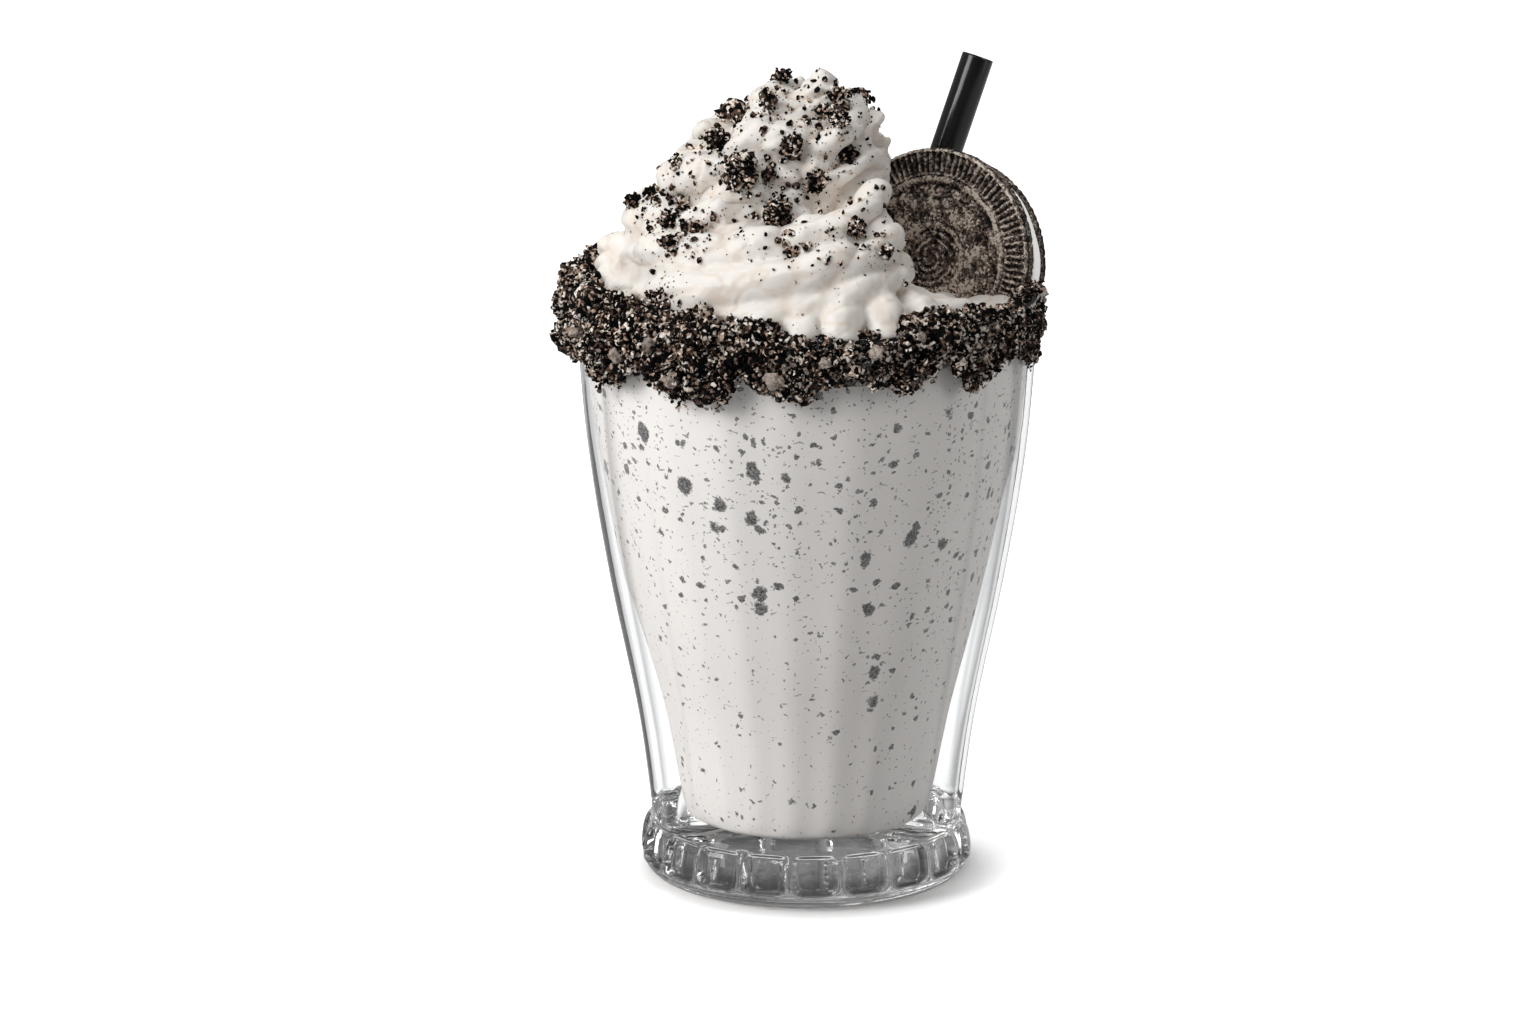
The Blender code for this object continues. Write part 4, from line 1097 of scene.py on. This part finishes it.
def crust_spots(count, sizes, sink, draw, hang):
    """Random spots on the rough side of the crust, and a size for each."""
    angles = np.linspace(0.0, math.tau, CRUST_STEPS, endpoint=False)
    skins = [crust_skin(angle) for angle in angles]
    smaller = [min(1.0, 1.0 - (CRUST_TOP - 0.4 - skin[2][1]) / LEAST_LUMP_DROP) for skin in skins]
    spots, drawn = [], []
    for index in range(count):
        place = draw.integers(CRUST_STEPS)
        angle = angles[place] + draw.uniform(0.0, math.tau / CRUST_STEPS)
        skin = skins[place]
        steps = np.hypot(*np.diff(skin, axis=0).T)
        length = np.concatenate([[0.0], np.cumsum(steps)])
        along = draw.uniform(0.0, length[-1] + hang)
        radius = np.interp(along, length, skin[:, 0])
        height = np.interp(along, length, skin[:, 1]) - max(0.0, along - length[-1])
        size = sizes[0] + (sizes[1] - sizes[0]) * draw.uniform() ** 2.2
        size *= smaller[place]
        stretch = min(max(np.searchsorted(length, along), 1), len(skin) - 1)
        way = skin[stretch] - skin[stretch - 1]
        normal = np.array([-way[1], way[0]]) / (np.hypot(*way) + 1e-6)
        out = size * sink + crust_bulge(radius, angle, height) * smaller[place]
        radius += normal[0] * out
        height += normal[1] * out
        spots.append((radius * math.cos(angle), radius * math.sin(angle), height))
        drawn.append(size)
    return np.array(spots), drawn


add_piece("crust_core", crust_core(), cookie_crumb, "crumb_rim", 35.0)
draw = np.random.default_rng(CRUST_SEED)
# How far under the top the crest would lie where its crumbs are nothing
LEAST_LUMP_DROP = 3.4
# Name, how many, their sizes, how far they stand out, how finely they are cut, and how far they hang
CRUST_KINDS = (
    ("crust_lumps", 380, (2.2, 5.0), 0.0, 2, 0.0),
    ("crust_crumbs", 2500, (1.1, 2.8), 0.14, 1, 0.4),
    ("crust_grains", 9600, (0.45, 1.2), 0.55, 1, 1.0),
)
for name, count, sizes, sink, detail, hang in CRUST_KINDS:
    spots, drawn = crust_spots(count, sizes, sink, draw, hang)
    shapes = crumb_shapes(SHAPE_KINDS, detail, 0.55, CRUST_SEED + detail)
    crumbs = strewn(name, spots, drawn, shapes, draw)
    add_piece(name, crumbs, cookie_crumb, "crumb_rim", sharp=35.0)

FLAKE_SIZES = (1.4, 2.8)
# Degrees from the front towards the right, and height, of the pale flakes that show
FLAKES = (
    (-66.0, 116.5), (-39.0, 118.0), (-33.0, 112.0), (-27.0, 114.5), (-8.0, 113.5), (4.0, 117.0),
    (16.0, 118.5), (28.0, 120.5), (39.0, 121.0), (47.0, 112.5), (-50.0, 114.0), (100.0, 116.0),
    (135.0, 119.0), (170.0, 114.0), (-150.0, 117.0), (-115.0, 115.0),
)
FLAKE_DARK = (0.17, 0.13, 0.105)
FLAKE_TONES = ((0.35, 0.62, (0.5, 0.42, 0.36)),)


def flake_finish():
    """Pale beige bits of dried filling among the dark crumbs."""
    finish = Finish("pale flake")
    place = finish.place()
    mottled = finish.cloud(place, 0.7, 3.0, 0.7)
    tint = finish.toned(mottled, FLAKE_DARK, FLAKE_TONES)
    sockets = {"Base Color": tint, "Roughness": 0.65, "Normal": finish.bump(mottled, 0.2)}
    return finish.done(finish.surface("Principled", sockets))


flakes = []
for degrees, height in FLAKES:
    angle = math.radians(degrees - 90.0)
    skin = crust_skin(angle)[4:]
    radius = np.interp(-height, -skin[:, 1], skin[:, 0])
    radius += 0.3 + max(0.0, crust_bulge(radius, angle, height))
    flakes.append((radius * math.cos(angle), radius * math.sin(angle), height))
flake_sizes = draw.uniform(*FLAKE_SIZES, len(flakes))
flake_mesh = strewn("crust_flakes", flakes, flake_sizes, crumb_shapes(5, 3, 0.5, CRUST_SEED), draw)
add_piece("crust_flakes", flake_mesh, flake_finish(), "crumb_rim", sharp=60.0)

# Sandwich cookie
# Two dark baked wafers with a white filling between them, pushed into the cream at the right. The
# wafers were pressed in a mould, which left a reeded band, a raised ring and a plain spiral.
COOKIE_RADIUS = 22.25
WAFER_THICKNESS = 3.1
FILLING_THICKNESS = 2.4
FILLING_RADIUS = 21.9
FILLING_BULGE = 0.55
FILLING_REACH = 0.1
# How far the filling and the back wafer slid down behind the front one
COOKIE_SLIP = 1.3
COOKIE_FACE_CENTRE = (24.8, 9.0, 124.5)
COOKIE_TURN = math.radians(31.3)
COOKIE_LEAN = math.radians(12.5)
REEDS = 92
REED_STEPS = 6
BAND_INSIDE = 16.9
BAND_OUTSIDE = 21.3
REED_DEPTH = 0.65
# Over what width the reeds fade out at both sides of the band
BAND_FADE = 0.5
FIELD_ROWS = 46
BAND_ROWS = 26
# How much the wafer's side is reeded and roughened
SIDE_REEDS = 0.10
SIDE_ROUGH = 0.35
# How deep under the face the plain side starts, and how high it counts in the painted shade of the finish
SIDE_FROM = -1.2
SIDE_RELIEF = 0.45
# Sizes and heights of the crags on the face
FACE_CRAGS = ((2.2, 1.0), (0.9, 0.7), (0.45, 0.4))
FACE_RELIEF = 0.5
FACE_DEPTH = 0.95
EDGE_ROUND = 0.6
RING_MIDDLE = 16.1
RING_WIDTH = 0.55
WHORL_RADIUS = 6.9

cookie_place = (
    Matrix.Translation(COOKIE_FACE_CENTRE)
    @ Matrix.Rotation(-COOKIE_TURN, 4, "Z")
    @ Matrix.Rotation(math.pi / 2 - COOKIE_LEAN, 4, "X")
)


def near_ring(radius, middle, width, power=2):
    """One on a ring of the face, and less the further from it."""
    return math.exp(-(((radius - middle) / width) ** power))


def face_height(radius, angle, shift):
    """How deep the wafer's moulded face lies under its highest level, at one spot."""
    spot = Vector((radius * math.cos(angle), radius * math.sin(angle), shift))
    crag = waves_at(spot, FACE_CRAGS)
    if radius > BAND_INSIDE:
        reed = 0.5 + 0.5 * math.cos(REEDS * angle + 0.9 * noise.noise(spot / 1.6))
        fade = min(1.0, (radius - BAND_INSIDE) / BAND_FADE)
        fade *= min(1.0, max(0.0, (BAND_OUTSIDE + 0.6 - radius) / BAND_FADE))
        return -0.15 - REED_DEPTH * (1.0 - reed**1.2) * fade - 0.14 * crag
    if radius > WHORL_RADIUS + 0.8:
        worn = noise.noise(Vector((3 * math.cos(angle), 3 * math.sin(angle), shift)))
        ring = near_ring(radius, RING_MIDDLE, RING_WIDTH, 4)
        ring *= 0.45 + 0.55 * min(1.0, max(0.0, 0.65 + 2.4 * worn))
        groove = near_ring(radius, BAND_INSIDE - 0.1, 0.35) + near_ring(radius, RING_MIDDLE - 1.1, 0.45)
        lumps = 0.8 * max(0.0, noise.noise(spot / 3.1 + Vector((9.0, 0.0, 0.0))))
        return -0.8 * FACE_RELIEF + FACE_RELIEF * ring + lumps + 0.3 * crag - 0.3 * groove
    rim = near_ring(radius, WHORL_RADIUS, 0.5)
    twist = angle * 2 + radius * 4.6 + 2.4 * noise.noise(spot / 2.4)
    spiral = 0.5 + 0.5 * math.sin(twist)
    return -0.7 * FACE_DEPTH + 0.62 * rim + 0.5 * spiral * (1.0 - rim) + 0.2 * crag


def wafer_mesh(name, shift):
    """A wafer with its moulded face up at zero and its plain back below."""
    angles = np.linspace(0.0, math.tau, REEDS * REED_STEPS, endpoint=False)
    field = np.linspace(0.25, BAND_INSIDE - 1.6, FIELD_ROWS)
    band = np.linspace(BAND_INSIDE - 1.4, COOKIE_RADIUS - EDGE_ROUND, BAND_ROWS)
    radii = np.concatenate([field, band])[::-1]
    heights = [[min(0.0, face_height(radius, angle, shift)) for angle in angles] for radius in radii]
    face = round_rings(radii, heights, angles)
    rounds = [(COOKIE_RADIUS - EDGE_ROUND * (1 - math.sin(turn)), EDGE_ROUND * (1 - math.cos(turn)))
              for turn in np.linspace(0.0, math.pi / 2, 5)]
    side = [(radius, 0.6 * rise - WAFER_THICKNESS) for radius, rise in rounds]
    side += [(COOKIE_RADIUS, height) for height in np.linspace(-WAFER_THICKNESS + 0.8, -EDGE_ROUND - 0.4, 5)]
    side += [(radius, -0.9 * rise - 0.05) for radius, rise in rounds[-2::-1]]
    reeds = SIDE_REEDS * (0.5 + 0.5 * np.cos(REEDS * angles))
    reaches = []
    for radius, height in side:
        spots = [Vector((30 * math.cos(angle), 30 * math.sin(angle), height * 2 + shift)) for angle in angles]
        rough = np.array([noise.noise(spot) for spot in spots])
        reaches.append(radius - reeds - SIDE_ROUGH * np.abs(rough))
    edge = round_rings(reaches, [height for radius, height in side], angles)
    return turned(name, np.concatenate([edge, face]))


def ring_room(name, outline, steps=128):
    """A ring to cut with, turned from an outline of radius and height."""
    angles = np.linspace(0.0, math.tau, steps, endpoint=False)
    radii, heights = zip(*outline)
    mesh = turned(name, round_rings(radii, heights, angles), hollow=True)
    room = bpy.data.objects.new(name, mesh)
    scene.collection.objects.link(room)
    return room


# The tones of a wafer, from painted shade in its hollows to partly painted highlight on high spots: where
# each starts and is full, and its colour
WAFER_DARK = (0.003, 0.0022, 0.0018)
WAFER_TONES = (
    (0.3, 0.52, (0.085, 0.064, 0.053)), (0.6, 0.82, (0.3, 0.235, 0.195)), (0.92, 1.06, (0.78, 0.69, 0.6)),
)


def wafer_finish():
    """Dark baked wafer, with painted shade that makes it near black in its hollows, and paler on high spots,
    partly rubbed and partly painted highlight.
    """
    finish = Finish("dark cookie wafer")
    place = finish.place()
    uneven = 1.15 * finish.cloud(place, 3.4, 3.0, 0.6) + 0.85 * finish.drawn(place, 0.42)
    # Painted shade and highlight: the lower a spot lies in the face, the darker it is
    tint = finish.toned(finish.noted("relief") + uneven - 0.89, WAFER_DARK, WAFER_TONES)
    normal = finish.bump(finish.cloud(place, 0.5, 3.0, 0.75), 0.25)
    sockets = {"Base Color": tint, "Roughness": 0.75, "Specular IOR Level": 0.25, "Normal": normal}
    return finish.done(finish.surface("Principled", sockets))


def note_relief(mesh, place):
    """Notes how high each spot of a placed piece stands in its moulded face, or that it is the side, for the
    painted shade of its finish.
    """
    turn = np.array(place.inverted())
    heights = vertex_places(mesh).astype(float) @ turn[2, :3] + turn[2, 3]
    relief = np.clip(1.0 + heights / FACE_DEPTH, 0.0, 1.0)
    relief[heights < SIDE_FROM] = SIDE_RELIEF
    note(mesh, "relief", relief)


def filling_finish():
    """Firm white filling with a glow of painted light that brightens it where it lies in shade."""
    finish = Finish("cookie filling")
    place = finish.place()
    soft = finish.cloud(place, 4.0, 3.0)
    tint = finish.mixed(soft, colour(0.94, 0.93, 0.91), colour(0.88, 0.87, 0.85))
    fine = finish.bump(finish.cloud(place, 0.9, 3.0), 0.08)
    # The emission is painted light, which brightens the filling where it lies in shade between the wafers
    sockets = {
        "Base Color": tint, "Roughness": 0.5, "Normal": fine, "Emission Color": tint,
        "Emission Strength": 0.35,
    }
    return finish.done(finish.surface("Principled", sockets))


def filling_mesh():
    """The filling, a little wavy and bulging between the wafers, into which it reaches."""
    angles = np.linspace(0.0, math.tau, 240, endpoint=False)
    half = FILLING_THICKNESS / 2
    turns = np.linspace(-math.pi / 2, math.pi / 2, 11)
    heights = [(half + FILLING_REACH) * math.sin(turn) - WAFER_THICKNESS - half for turn in turns]
    wave = 0.15 * np.sin(5 * angles + 1.0) + 0.1 * np.sin(11 * angles)
    radii = [FILLING_RADIUS + FILLING_BULGE * math.cos(turn) + wave for turn in turns]
    return turned("cookie_cream", round_rings(radii, heights, angles))


# What is cut off the cookie: all that lies in the wall of the glass, at these heights
ROOM_HEIGHTS = (RIM_HEIGHT + 0.3, 112.0, 103.0, 92.0)
ROOM_OUTSIDE = 60.0
wall_outline = [(radius_at(BODY_INSIDE, height) - 0.3, height) for height in ROOM_HEIGHTS]
wall_outline += [(ROOM_OUTSIDE, height) for height in (ROOM_HEIGHTS[-1], ROOM_HEIGHTS[0])]
wall_room = ring_room("wall room", wall_outline)
dark_wafer = wafer_finish()
slipped = Matrix.Translation((0.0, -COOKIE_SLIP, 0.0))
turned_back = Matrix.Rotation(math.pi, 4, "X")
back_place = Matrix.Translation((0.0, -COOKIE_SLIP, -2 * WAFER_THICKNESS - FILLING_THICKNESS)) @ turned_back
# Mesh, how it is placed behind the face, finish, slot, and the node that it replaces
COOKIE_PIECES = (
    (wafer_mesh("cookie_front", 3.0), Matrix(), dark_wafer, "cookie_wafer", "cookie_front_wafer"),
    (wafer_mesh("cookie_back", 40.0), back_place, dark_wafer, "cookie_wafer", "cookie_back_wafer"),
    (filling_mesh(), slipped, filling_finish(), "cookie_filling", "cookie_filling"),
)
for mesh, behind, material, slot, node in COOKIE_PIECES:
    name = mesh.name
    mesh.transform(cookie_place @ behind)
    cut = ("BOOLEAN", {"operation": "DIFFERENCE", "solver": "MANIFOLD", "object": wall_room})
    mesh = baked(mesh, [cut])
    note_relief(mesh, cookie_place @ behind)
    add_piece(name, mesh, material, node, 40.0)
bpy.data.objects.remove(wall_room, do_unlink=True)

# Straw
# A black plastic drinking straw, an extruded tube cut square. It leans in the shake with its foot
# on the floor of the glass and stands up behind the cookie.
STRAW_RADIUS = 3.25
STRAW_WALL = 0.35
STRAW_TOP = (34.7, 34.0, 160.5)
STRAW_FOOT = (-15.4, 10.4, 14.2)
STRAW_STEPS = 72
STRAW_ROWS = 24


def straw_mesh():
    """A tube between two points, with rounded lips."""
    foot = np.array(STRAW_FOOT)
    axis = np.array(STRAW_TOP) - foot
    length = np.linalg.norm(axis)
    axis /= length
    side = np.cross(axis, (0.0, 1.0, 0.0))
    side /= np.linalg.norm(side)
    other = np.cross(axis, side)
    angles = np.linspace(0.0, math.tau, STRAW_STEPS, endpoint=False)
    lip = STRAW_WALL / 2
    middle = STRAW_RADIUS - lip
    alongs = np.linspace(lip, length - lip, STRAW_ROWS)
    rounds = [(lip * math.cos(turn), lip * math.sin(turn)) for turn in np.linspace(0.3, math.pi - 0.3, 6)]
    outline = [(STRAW_RADIUS, along) for along in alongs]
    outline += [(middle + out, length - lip + up) for out, up in rounds]
    outline += [(middle - lip, along) for along in alongs[::-1]]
    outline += [(middle - out, lip - up) for out, up in rounds]
    rings = [
        foot + axis * along + radius * (np.cos(angles)[:, None] * other + np.sin(angles)[:, None] * side)
        for radius, along in outline
    ]
    return turned("straw_tube", rings, hollow=True)


def straw_finish():
    """Glossy black plastic with the faint lines of the die along it."""
    finish = Finish("black plastic")
    place = finish.place()
    lines = finish.cloud(finish.stretched(place, (1.0, 1.0, 0.06)), 1.2, 2.0)
    tint = finish.mixed(lines, colour(0.003, 0.0026, 0.0027), colour(0.006, 0.0053, 0.0055))
    worn = finish.ramp(finish.cloud(place, 5.0, 3.0), 0.3, 0.7, 0.13, 0.2)
    normal = finish.bump(lines, 0.02)
    sockets = {"Base Color": tint, "Roughness": worn, "Specular IOR Level": 0.4, "Normal": normal}
    return finish.done(finish.surface("Principled", sockets))


add_piece("straw_tube", straw_mesh(), straw_finish(), "straw", 50.0)
